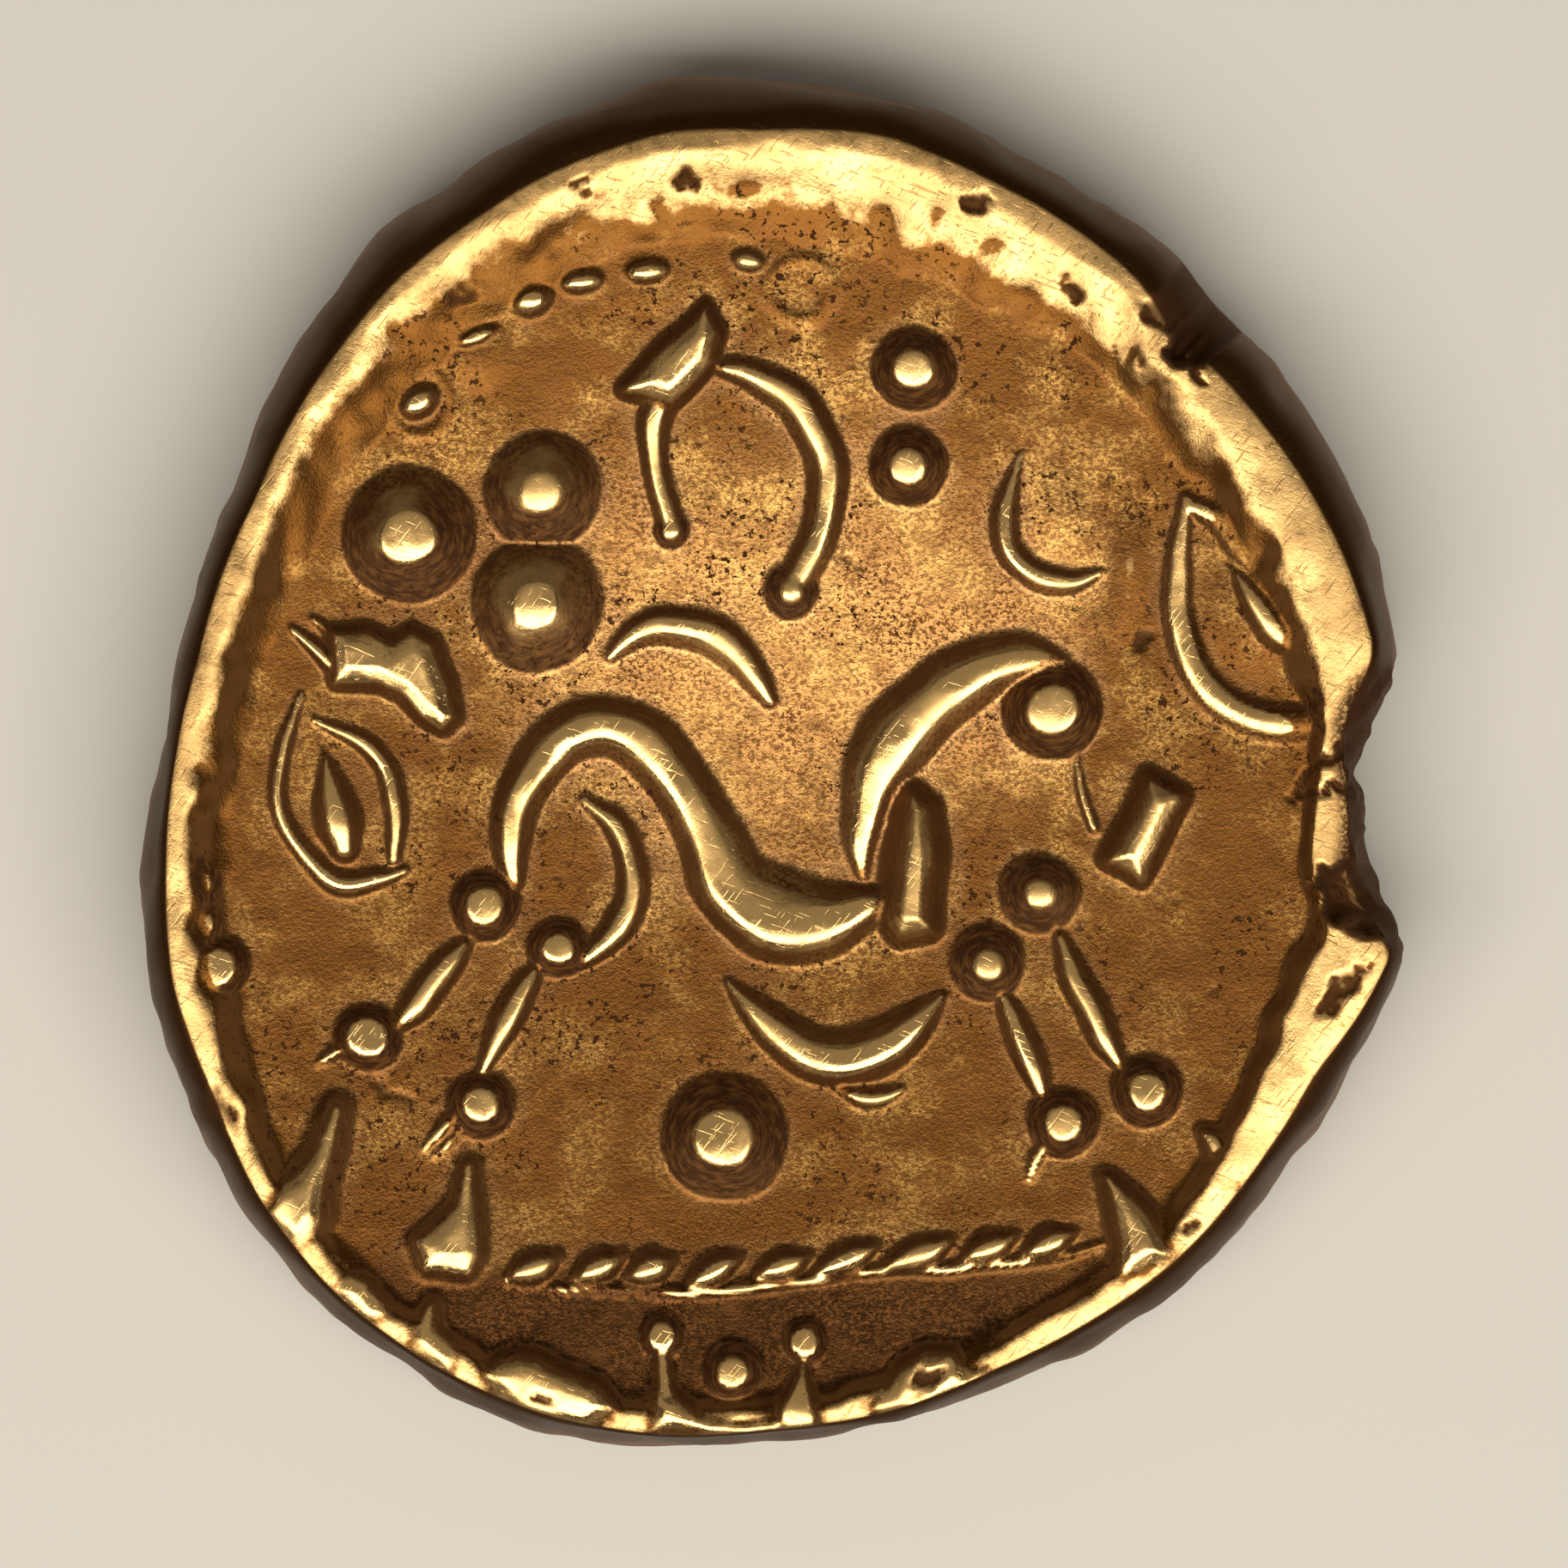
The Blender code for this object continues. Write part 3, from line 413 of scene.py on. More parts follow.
# Low soft ridges, set out as the ridges are
LOW_RIDGES = {
    "right eye, outer lid": (
        (48.0, 31.0, 1.0), (47.3, 24.0, 1.8), (46.9, 17.5, 2.0), (48.8, 11.0, 2.2), (53.2, 6.6, 2.2),
        (58.8, 4.6, 2.3), (65.0, 5.0, 2.2),
    ),
    "right eye, brow": (
        (48.2, 30.6, 1.0), (52.6, 28.4, 2.2), (54.8, 24.6, 1.8), (58.4, 21.9, 2.0), (61.6, 17.8, 2.0),
        (63.0, 13.0, 1.2),
    ),
}

# Name, then a plate's height in millimetres, the width of its sides in squares, and the corners of its top in
# squares
PLATES = {
    "hook's plate": (
        0.34, 1.3, (-17.7, 43.6), (-12.8, 48.8), (-8.2, 53.2), (-6.4, 50.2), (-7.6, 46.8), (-12.2, 42.0),
    ),
    "claw's palm": (
        0.28, 1.5, (-51.2, 15.0), (-47.7, 15.2), (-44.9, 13.6), (-42.4, 15.2), (-40.2, 14.0), (-38.2, 9.8),
        (-37.4, 5.5), (-38.6, 4.2), (-40.8, 5.4), (-43.4, 8.2), (-46.4, 9.6), (-51.0, 9.6),
    ),
    "shoulder": (
        0.42, 2.0, (16.2, -3.4), (18.3, -5.0), (18.6, -11.0), (18.0, -19.3), (14.4, -19.8), (13.2, -18.0),
        (14.2, -11.0), (15.2, -6.5),
    ),
    "bar before the chest": (0.36, 1.6, (43.6, -1.8), (47.4, -3.6), (42.4, -13.2), (38.8, -11.4)),
    "left hooked spike": (
        0.28, 2.3, (-51.1, -40.1), (-51.4, -44.3), (-52.2, -48.9), (-52.8, -53.1), (-55.2, -57.0),
        (-60.5, -52.5), (-58.7, -49.7), (-55.7, -48.1), (-53.7, -45.5),
    ),
    "left thin spike": (
        0.24, 1.2, (-61.4, -41.2), (-60.1, -43.5), (-59.7, -46.2), (-59.1, -48.9), (-62.0, -49.5),
        (-63.5, -46.0), (-62.4, -44.3),
    ),
    "left free spike": (
        0.24, 1.9, (-35.6, -46.8), (-35.0, -51.0), (-34.8, -57.3), (-35.9, -59.0), (-40.7, -58.8),
        (-41.4, -55.8), (-39.4, -54.2), (-36.9, -51.6),
    ),
    "left low lobe": (
        0.24, 1.2, (-50.3, -59.6), (-47.6, -60.4), (-45.7, -62.7), (-44.6, -65.0), (-47.5, -66.0),
        (-52.0, -61.5),
    ),
    "left low spike": (
        0.24, 1.6, (-40.0, -63.1), (-39.4, -65.8), (-37.4, -68.2), (-36.8, -70.2), (-38.0, -72.0),
        (-43.6, -67.6), (-41.4, -64.8),
    ),
    "bottom lobe": (
        0.32, 1.5, (-34.7, -71.0), (-31.9, -69.4), (-29.8, -68.8), (-27.7, -69.1), (-24.2, -70.7),
        (-20.8, -72.2), (-18.6, -75.2), (-22.0, -78.0), (-30.0, -76.0),
    ),
    "right lobe": (
        0.3, 1.4, (10.6, -75.2), (13.2, -72.6), (14.8, -70.2), (17.6, -68.6), (20.8, -68.8), (22.6, -70.6),
        (29.5, -70.4), (28.0, -73.0), (18.0, -76.5),
    ),
    "right spike": (
        0.3, 1.7, (38.8, -48.4), (39.8, -54.0), (40.6, -60.0), (46.4, -57.0), (44.2, -53.0), (41.8, -50.9),
    ),
    "left post's base": (
        0.3, 1.2, (-14.2, -73.0), (-11.6, -73.4), (-8.0, -76.4), (-3.0, -77.2), (1.0, -76.6), (3.6, -74.8),
        (5.6, -75.2), (5.4, -78.0), (-14.4, -78.0),
    ),
    "lower right rim's lobe": (0.28, 1.4, (52.4, -48.6), (55.6, -45.6), (57.6, -48.4), (53.8, -52.6)),
    "right upper spike": (0.22, 1.2, (50.2, -43.0), (57.4, -44.4), (54.0, -50.4), (51.2, -46.2)),
    "upper left lobe": (0.2, 1.0, (-54.8, 34.2), (-55.2, 35.2), (-59.0, 35.8), (-58.3, 33.4)),
}

# Name, then from the tip to the foot: x, y and the half width, in squares
STEMS = {
    "left post's stem": ((-13.2, -68.5, 0.9), (-12.9, -72.0, 1.3), (-12.6, -76.0, 2.2)),
    "right post's stem": ((3.4, -69.5, 0.6), (3.1, -73.0, 1.9), (2.8, -76.0, 3.4)),
}

# The twisted ground line's strands: x and y of the middle and the half length, in squares
STRANDS = (
    (-28.2, -58.8, 3.2), (-20.4, -58.7, 3.2), (-14.6, -58.8, 2.8), (-7.2, -59.0, 3.4), (0.8, -58.6, 3.2),
    (8.2, -57.7, 3.8), (16.6, -57.2, 4.2), (24.9, -56.4, 3.2), (31.9, -55.9, 3.4),
)

# Their slant in degrees, their half width in squares, and from end to end: shares of the half length and the width
STRAND_SLANT = 24.0
STRAND_HALF_WIDTH = 2.1
STRAND_SHAPE = ((-1, 0.25), (-0.4, 0.9), (0.3, 1), (1, 0.35))

# Name, then the middle x and y, the half length and half width in squares, the turn in degrees, and the depth in
# millimetres
PITS = {
    "rim pit at the top": (-10.5, 68.0, 1.5, 1.2, 0.0, 0.1),
    "rim pit left of the top": (-22.7, 67.5, 1.4, 0.9, 15.0, 0.07),
    "rim pit right of the top": (23.3, 65.2, 2.6, 1.5, -15.0, 0.2),
    "rim pit at the upper right": (34.8, 55.2, 1.7, 1.3, -60.0, 0.1),
    "long dent in the upper right rim": (44.5, 52.2, 2.9, 1.2, -52.0, 0.1),
    "nick in the broad rim": (39.7, 47.8, 1.7, 0.45, 88.0, 0.03),
    "second nick in the broad rim": (42.1, 47.4, 1.6, 0.5, 84.0, 0.03),
    "pit by the border": (-36.5, 54.5, 2.1, 1.3, 20.0, 0.06),
    "pit by the right eye": (42.8, 14.2, 1.7, 1.2, 30.0, 0.09),
    "hollow in the right lobe": (17.8, -71.6, 3.6, 1.5, 22.0, 0.16),
    "pit in the bottom lobe": (-26.8, -74.2, 2.0, 0.7, -35.0, 0.07),
    "pit in the right rim": (48.8, -54.2, 1.0, 0.9, 0.0, 0.1),
    "scrape on the right rim": (66.3, -26.2, 5.0, 1.5, 49.0, 0.12),
    "speck above the mane": (8.3, 24.5, 1.0, 0.7, 20.0, 0.03),
    "second speck above the mane": (9.8, 22.9, 0.9, 0.8, 70.0, 0.03),
    "speck under the arch": (-3.2, 38.0, 0.6, 0.5, 0.0, 0.02),
    "speck right of the far leg": (47.3, -16.2, 0.6, 0.5, 0.0, 0.03),
    "speck by the right rim": (50.6, -26.0, 0.5, 0.4, 0.0, 0.02),
    "damage under the left rim": (-64.0, -40.0, 3.4, 1.2, -62.0, 0.06),
}

# Name, then a notch's depth in millimetres, the width of its sides in squares, and the corners of its floor in
# squares
NOTCHES = {
    "fracture in the right rim": (
        0.55, 1.0, (63.6, -13.6), (66.4, -12.0), (69.6, -14.2), (73.4, -16.2), (73.4, -19.6), (68.2, -19.2),
        (64.4, -17.6),
    ),
    "wedge through the upper right rim": (
        0.75, 1.3, (47.4, 57.4), (53.6, 53.6), (51.4, 49.4), (49.2, 47.8), (47.0, 47.6), (47.0, 52.0),
    ),
}

# Name, then along the crack: x, y and the half width, in squares, and its depth in millimetres
CRACKS = {
    "crack under the wedge": (((48.4, 47.6, 0.9), (49.0, 45.8, 0.8), (50.0, 43.6, 0.3)), 0.22),
    "gap under the broad rim's end": (((66.0, 1.8, 0.9), (63.0, -0.6, 0.7), (60.6, -4.2, 0.3)), 0.2),
    "crack by the near hind hoof": (((-47.2, -35.0, 0.4), (-45.6, -37.8, 0.8), (-41.4, -39.4, 0.3)), 0.07),
    "crack at the right rim": (((60.2, -3.6, 0.3), (63.0, -3.4, 0.6), (66.5, -2.2, 0.8)), 0.16),
}

def rim_radius(column, angle):
    """One of the rim's radii in squares at angles in radians: the table's corners, slightly rounded."""
    table = np.array(RIM)
    fine = np.arange(0, 360, OUTLINE_STEP)
    blur = np.linspace(-OUTLINE_BLUR, OUTLINE_BLUR, BLUR_SAMPLES)
    blurred = np.interp(fine[:, None] + blur, table[:, 0], table[:, column], period=360).mean(axis=1)
    return np.interp(np.degrees(angle), fine, blurred, period=360)


def eased(value, low, high):
    """0 below low, 1 above high and a smooth step between them."""
    share = np.clip((value - low) / (high - low), 0, 1)
    return share * share * (3 - 2 * share)


def lumps(x, y, size, length, seed):
    """Smooth uneven values up to this size above and below 0, in lumps of this many squares."""
    count = int(2 * SQUARES_LONG / length) + 4
    lattice = np.random.default_rng(seed).uniform(-1, 1, (count, count))
    column, row = x / length + count / 2, y / length + count / 2
    left, low = np.floor(column).astype(int), np.floor(row).astype(int)
    across, up = eased(column - left, 0, 1), eased(row - low, 0, 1)
    lower = lattice[low, left] * (1 - across) + lattice[low, left + 1] * across
    upper = lattice[low + 1, left] * (1 - across) + lattice[low + 1, left + 1] * across
    return size * (lower * (1 - up) + upper * up)


def profile(share, flat, side_power=SIDE_POWER):
    """Height share at a share of a mark's half width: a crowned top, then a side that gets steeper."""
    side = np.clip((share - flat) / (1 - flat), 0, 1)
    crown = CROWN * np.minimum(share / flat, 1) ** 2
    return np.where(share < 1, 1 - crown - (1 - CROWN) * side**side_power, 0)


def limited(rise, tallest):
    """A rise that grows with its mark's width and levels off at the tallest."""
    return tallest * (1 - np.exp(-rise / tallest))


def pellet(x, y, middle_x, middle_y, foot, top, tallest):
    """Height of a round pellet with a worn top."""
    share = np.hypot(x - middle_x, y - middle_y) / foot
    return limited(PELLET_STEEPNESS * foot * GRID, tallest) * profile(share, top / foot, PELLET_SIDE_POWER)


def oval_share(x, y, middle_x, middle_y, half_length, half_width, turn):
    """Share of the way from the middle of a turned oval to its outline."""
    along_x, along_y = math.cos(math.radians(turn)), math.sin(math.radians(turn))
    along = (x - middle_x) * along_x + (y - middle_y) * along_y
    across = (y - middle_y) * along_x - (x - middle_x) * along_y
    return np.hypot(along / half_length, across / half_width)


def bead(x, y, *oval, tallest):
    """Height of a small oval bead with a worn top."""
    half_width = oval[3]
    rise = limited(PELLET_STEEPNESS * half_width * GRID, tallest)
    return rise * profile(oval_share(x, y, *oval), BEAD_TOP, PELLET_SIDE_POWER)


def soft(share):
    """Height share of a low worn swelling at a share of its half width."""
    return (1 - np.minimum(share, 1) ** 2) ** 2


def ring_share(x, y, middle_x, middle_y, radius, half_width):
    """Share of a ring's half width that places are from its middle line."""
    return np.abs(np.hypot(x - middle_x, y - middle_y) - radius) / half_width


def curve(points):
    """A Catmull-Rom curve through the points, every column of them, in short steps."""
    points = np.array(points)
    ends = np.vstack([2 * points[0] - points[1], points, 2 * points[-1] - points[-2]])
    t = np.arange(CURVE_STEPS)[:, None] / CURVE_STEPS
    pieces = []
    for before, start, end, after in zip(ends, ends[1:], ends[2:], ends[3:]):
        bend = (end - before) * t + (2 * before - 5 * start + 4 * end - after) * t**2
        pieces.append(start + 0.5 * (bend + (3 * start - before - 3 * end + after) * t**3))
    return np.vstack([*pieces, points[-1:]])


def within(x, y, points, reach):
    """Which places lie in the box around the points, widened by a reach."""
    inside = (x > points[:, 0].min() - reach) & (x < points[:, 0].max() + reach)
    return inside & (y > points[:, 1].min() - reach) & (y < points[:, 1].max() + reach)


def from_line(at, start, end):
    """Share along a line's way that is nearest to each place, and the way from there to the place."""
    way = end - start
    along = np.clip((at - start) @ way / (way @ way), 0, 1)
    return along, at - start - along[:, None] * way


def ridge(x, y, points, tallest, steepness=RIDGE_STEEPNESS, flat=RIDGE_TOP):
    """Height of a ridge along a curve through points with one width, or a left and a right one."""
    line = curve([(*point[:3], point[-1]) for point in points])
    height = np.zeros_like(x)
    near = within(x, y, line, line[:, 2:].max())
    at = np.stack([x[near], y[near]], axis=1)
    closest = np.full(len(at), np.inf)
    share = np.full(len(at), np.inf)
    rise = np.zeros(len(at))
    for start, end in zip(line, line[1:]):
        way = end[:2] - start[:2]
        along, offset = from_line(at, start[:2], end[:2])
        distance = np.hypot(offset[:, 0], offset[:, 1])
        lean = (way[0] * offset[:, 1] - way[1] * offset[:, 0]) / np.hypot(*way) / np.maximum(distance, TINY)
        left, right = (start[2:] + along[:, None] * (end - start)[2:]).T
        width = np.maximum(right + (left - right) * (lean + 1) / 2, LEAST_WIDTH)
        closer = distance < closest
        closest = np.where(closer, distance, closest)
        share = np.where(closer, distance / width, share)
        rise = np.where(closer, limited(steepness * np.minimum(left, right) * GRID, tallest), rise)
    height[near] = rise * profile(share, flat)
    return height


def strand(x, y, middle_x, middle_y, half_length, tallest):
    """Height of one strand of the twisted ground line."""
    way_x = math.cos(math.radians(STRAND_SLANT)) * half_length
    way_y = math.sin(math.radians(STRAND_SLANT)) * half_length
    points = [
        (middle_x + share * way_x, middle_y + share * way_y, width * STRAND_HALF_WIDTH)
        for share, width in STRAND_SHAPE
    ]
    return ridge(x, y, points, tallest, STRAND_STEEPNESS)


def outside_distance(x, y, corners):
    """How far places are from a shape with these corners, below 0 inside it."""
    crossings = np.zeros(x.shape, int)
    distance = np.full(x.shape, np.inf)
    at = np.stack([x, y], axis=1)
    for start, end in zip(corners, np.roll(corners, -1, axis=0)):
        way = end - start
        _, offset = from_line(at, start, end)
        distance = np.minimum(distance, np.hypot(offset[:, 0], offset[:, 1]))
        spans = (start[1] > y) != (end[1] > y)
        crossings += spans & (x < start[0] + (y - start[1]) * way[0] / (way[1] or 1))
    return np.where(crossings % 2 == 1, -distance, distance)


def plate(x, y, height, side, *corners):
    """Height of a plate with a bevelled top and falling sides."""
    rise = np.zeros_like(x)
    corners = np.array(corners)
    near = within(x, y, corners, side)
    distance = outside_distance(x[near], y[near], corners)
    bevel = BEVEL_SHARE * np.clip(-distance / PLATE_BEVEL, 0, 1)
    fall = (1 - BEVEL_SHARE) * np.clip(1 - distance / side, 0, 1) ** PLATE_SIDE_POWER
    rise[near] = height * MM * (bevel + fall)
    return rise


def figure_height(x, y, sizes):
    """Height of the raised design above the field, and where it is a pellet."""
    pellets = np.maximum.reduce([pellet(x, y, *places, sizes.tallest_pellet) for places in PELLETS.values()])
    marks = [bead(x, y, *oval, tallest=sizes.tallest_pellet) for oval in BEADS.values()]
    marks += [sizes.ring_rise * soft(ring_share(x, y, *places)) for places in RINGS.values()]
    marks += [ridge(x, y, points, sizes.tallest_ridge) for points in RIDGES.values()]
    marks += [ridge(x, y, points, sizes.low_ridge_rise) for points in LOW_RIDGES.values()]
    marks += [plate(x, y, *places) for places in PLATES.values()]
    marks += [ridge(x, y, points, sizes.stem_rise, STEM_STEEPNESS, STEM_TOP) for points in STEMS.values()]
    marks += [strand(x, y, *places, sizes.strand_rise) for places in STRANDS]
    domes = [sizes.dome_rise * soft(oval_share(x, y, *oval)) for oval in DOMES.values()]
    others = np.maximum.reduce(marks)
    return np.maximum(pellets, others) + np.maximum.reduce(domes), pellets > others


def damage_depth(x, y):
    """Depth of the pits, notches and cracks, with ragged outlines."""
    x, y = x + lumps(x, y, *PIT_RAG_X), y + lumps(x, y, *PIT_RAG_Y)
    hollows = [bead(x, y, *oval, tallest=depth * MM) for *oval, depth in PITS.values()]
    hollows += [plate(x, y, *places) for places in NOTCHES.values()]
    hollows += [
        depth * MM * ridge(x, y, points, 1.0, CRACK_STEEPNESS, CRACK_FLOOR) for points, depth in CRACKS.values()
    ]
    return np.maximum.reduce(hollows)


def field_height(x, y, sizes):
    """Height of the dished field above the middle of the field."""
    share = np.hypot(2 * x / SQUARES_WIDE, 2 * y / SQUARES_LONG)
    return sizes.dish_depth * share**2


def around(angle, middle, full, none):
    """Share that falls from one near a middle angle in degrees to nothing further round the coin."""
    away = np.abs((np.degrees(angle) - middle + 180) % 360 - 180)
    return eased(-away, -none, -full)


def rim_height(x, y, sizes):
    """Height of the rim above the dished field, the share of the way down its outer land and its wear."""
    angle = np.arctan2(y, x)
    radius = np.hypot(x, y)
    foot, crest, shoulder = (rim_radius(column, angle) for column in (1, 2, 3))
    broad = eased(crest - foot, *BROAD_RIM)
    foot = foot - (1 + broad) * lumps(x, y, *RAGGED_FOOT)
    crest = np.maximum(crest + lumps(x, y, *RAGGED_CREST), foot + LEAST_SLOPE)
    inner = np.clip((radius - foot) / (crest - foot), 0, 1)
    rounded = eased(inner, 0, 1)
    rise = (rounded + broad * (inner - rounded)) * (1 + lumps(x, y, *RIM_LUMPS))
    rise += inner * (1 - inner) * lumps(x, y, *SLOPE_LUMPS)
    rise *= 1 - LOW_RIM_FALL * around(angle, *LOW_RIM)
    bright = BRIGHT_WEAR * around(angle, *BRIGHT_RIM) * eased(inner, *BRIGHT_RANGE)
    wear = np.maximum(CREST_WEAR * eased(inner, *CREST_RANGE), bright)
    return sizes.rim_rise * rise, (radius - shoulder) / LAND_WIDTH + 1, wear


def struck_height(x, y, sizes):
    """Height of the struck side above the middle of its field, and what is raised, pitted, rim and pellet."""
    wavering_x, wavering_y = x + lumps(x, y, *WAVER_X), y + lumps(x, y, *WAVER_Y)
    rim, land, rim_wear = rim_height(x, y, sizes)
    figure, on_pellet = figure_height(wavering_x, wavering_y, sizes)
    relief = np.maximum(figure, rim) - LAND_FALL * np.clip(land, 0, 1) ** 2
    ripples = sum(lumps(x, y, *ripple) for ripple in RIPPLES)
    damage = damage_depth(x, y)
    readings = {
        "raised": relief / MM,
        "pitted": eased(damage / MM, *PITTED_RANGE),
        "rim": (rim > figure) * eased(rim, 0, sizes.rim_rise / 2),
        "pellet": on_pellet.astype(float),
        "rim wear": rim_wear,
    }
    return field_height(x, y, sizes) + relief - damage + sizes.ripple * ripples, readings


def back_height(radius, girth):
    """Height of the bulging back: level inside the flat spot, then curving up to the girth."""
    flat = FLAT_SPOT_RADIUS / GRID
    share = np.clip((radius - flat) / (girth - flat), 0, 1)
    return GIRTH_HEIGHT * (1 - np.sqrt(1 - share**2))


def hexagon_place(x, y):
    """Angle and share of the radius that a point of the flat hexagon gets on a round disc."""
    sector = np.floor(np.degrees(np.arctan2(y, x)) / 60 + SECTOR_TOLERANCE)
    start, end = np.radians(60 * sector), np.radians(60 * (sector + 1))
    area = np.sin(end - start)
    along_start = (x * np.sin(end) - y * np.cos(end)) / area
    along_end = (y * np.cos(start) - x * np.sin(start)) / area
    share = along_start + along_end
    turned = np.where(share > 0, along_end / np.maximum(share, TINY), 0)
    return np.radians(60) * (sector + turned), share


def broken_share(angle):
    """1 where the edge is broken away, 0 elsewhere, at angles in radians."""
    degrees = (np.degrees(angle) + 180) % 360 - 180
    begun = eased(degrees, BREAK_START - BREAK_FADE, BREAK_START + BREAK_FADE)
    return begun * (1 - eased(degrees, BREAK_END - BREAK_FADE, BREAK_END + BREAK_FADE))


def shaped(flat, sizes):
    """Places in metres for the corners of the flat blank, and the readings there."""
    angle, share = hexagon_place(flat[:, 0], flat[:, 1])
    level = np.clip(-flat[:, 2], 0, None)
    shoulder, girth = (rim_radius(column, angle) for column in (3, 4))
    mean_shoulder = shoulder.mean()
    front_radius = share * (mean_shoulder + (shoulder - mean_shoulder) * share**2)
    front, back, upper = level < LEVEL_TOLERANCE, level > 1 + 0.5 / SIDE_ROWS, level < UPPER_SIDE
    struck, readings = struck_height(front_radius * np.cos(angle), front_radius * np.sin(angle), sizes)
    struck += THICKNESS - struck[front].max()

    turn = level * math.pi / (2 * UPPER_SIDE)
    upper_radius = shoulder + (girth - shoulder) * np.sin(turn)
    upper_height = GIRTH_HEIGHT + (struck - GIRTH_HEIGHT) * np.cos(turn)
    back_edge = BACK_EDGE * girth
    lower_share = np.clip((level - UPPER_SIDE) / (1 + 1 / SIDE_ROWS - UPPER_SIDE), 0, 1)
    lower_radius = back_edge + (girth - back_edge) * np.cos(lower_share * math.pi / 2)
    radius = np.select([front, back, upper], [front_radius, share * back_edge, upper_radius], lower_radius)
    underside = back_height(radius, girth)
    height = np.select([front, back, upper], [struck, underside, upper_height], underside)

    side = np.where(front, 0, np.where(back, 1, np.minimum(level / UPPER_SIDE, 1)))
    broken = np.where(front, eased(front_radius - shoulder, -BREAK_REACH, 0), ~back) * broken_share(angle)
    torn = BREAK_ROUGHNESS * broken * eased(level, *BREAK_TOP) * eased(-level, *BREAK_FOOT)
    spread_x, spread_y = (SIDE_SPREAD * (1 + level / 2) * turn for turn in (np.cos(angle), np.sin(angle)))
    radius = radius + torn * (lumps(spread_x, spread_y, *BREAK_LUMPS) - BREAK_SETBACK)
    dents = sum(lumps(spread_x, spread_y, *dent) for dent in SIDE_DENTS)
    radius = radius + dents * eased(side, *DENTED) * ~back
    places = np.stack([radius * np.cos(angle) * GRID_X, radius * np.sin(angle) * GRID_Y, height], axis=1)
    return places, {**readings, "side": side, "broken": broken}


def only(obj):
    """Selects this object alone and makes it the active one."""
    bpy.ops.object.select_all(action="DESELECT")
    obj.select_set(True)
    bpy.context.view_layer.objects.active = obj


def hexagon_net(rings, halved, name):
    """A flat hexagon, one unit across, cut into rings of small triangles, with its first corner on +X."""
    bpy.ops.object.select_all(action="DESELECT")
    turn = (0, 0, math.radians(30))
    bpy.ops.mesh.primitive_circle_add(vertices=6, radius=1, fill_type="TRIFAN", rotation=turn)
    net = bpy.context.object
    net.name = name
    bpy.ops.object.transform_apply(location=False, rotation=True, scale=False)
    bpy.ops.object.mode_set(mode="EDIT")
    bpy.ops.mesh.select_all(action="SELECT")
    bpy.ops.mesh.subdivide(number_cuts=rings - 1)
    if halved:
        bpy.ops.mesh.subdivide(number_cuts=1)
    bpy.ops.object.mode_set(mode="OBJECT")
    return net


def select_open_edge():
    """Selects the open edge around a net, in edit mode."""
    bpy.ops.mesh.select_mode(type="EDGE")
    bpy.ops.mesh.select_all(action="DESELECT")
    bpy.ops.mesh.select_non_manifold()


def blank():
    """A closed flat body: the front's net, rows of side, a ring that thins out, and the back's coarser net."""
    front = hexagon_net(FRONT_HALF_RINGS, True, "coin_surface")
    bpy.ops.object.mode_set(mode="EDIT")
    select_open_edge()
    for _ in range(SIDE_ROWS):
        bpy.ops.mesh.extrude_edges_move(TRANSFORM_OT_translate={"value": (0, 0, -1 / SIDE_ROWS)})
    bpy.ops.object.mode_set(mode="OBJECT")
    back = hexagon_net(BACK_RINGS, False, "back")
    back.location.z = -1 - 1 / SIDE_ROWS
    bpy.ops.object.transform_apply(location=True)
    only(front)
    back.select_set(True)
    bpy.ops.object.join()
    bpy.ops.object.mode_set(mode="EDIT")
    select_open_edge()
    bpy.ops.mesh.bridge_edge_loops()
    bpy.ops.mesh.select_all(action="SELECT")
    bpy.ops.mesh.normals_make_consistent(inside=False)
    bpy.ops.mesh.quads_convert_to_tris()
    bpy.ops.object.mode_set(mode="OBJECT")
    return front


def smoothed(values, edges, rounds):
    """Values at the mesh's corners, each averaged with its neighbours' a number of times."""
    count = len(values)
    ends = np.concatenate([edges[:, 0], edges[:, 1]])
    others = np.concatenate([edges[:, 1], edges[:, 0]])
    neighbours = np.bincount(ends, minlength=count)[:, None]
    for _ in range(rounds):
        total = np.stack([np.bincount(ends, column[others], count) for column in values.T], axis=1)
        values = (values + total) / (neighbours + 1)
    return values


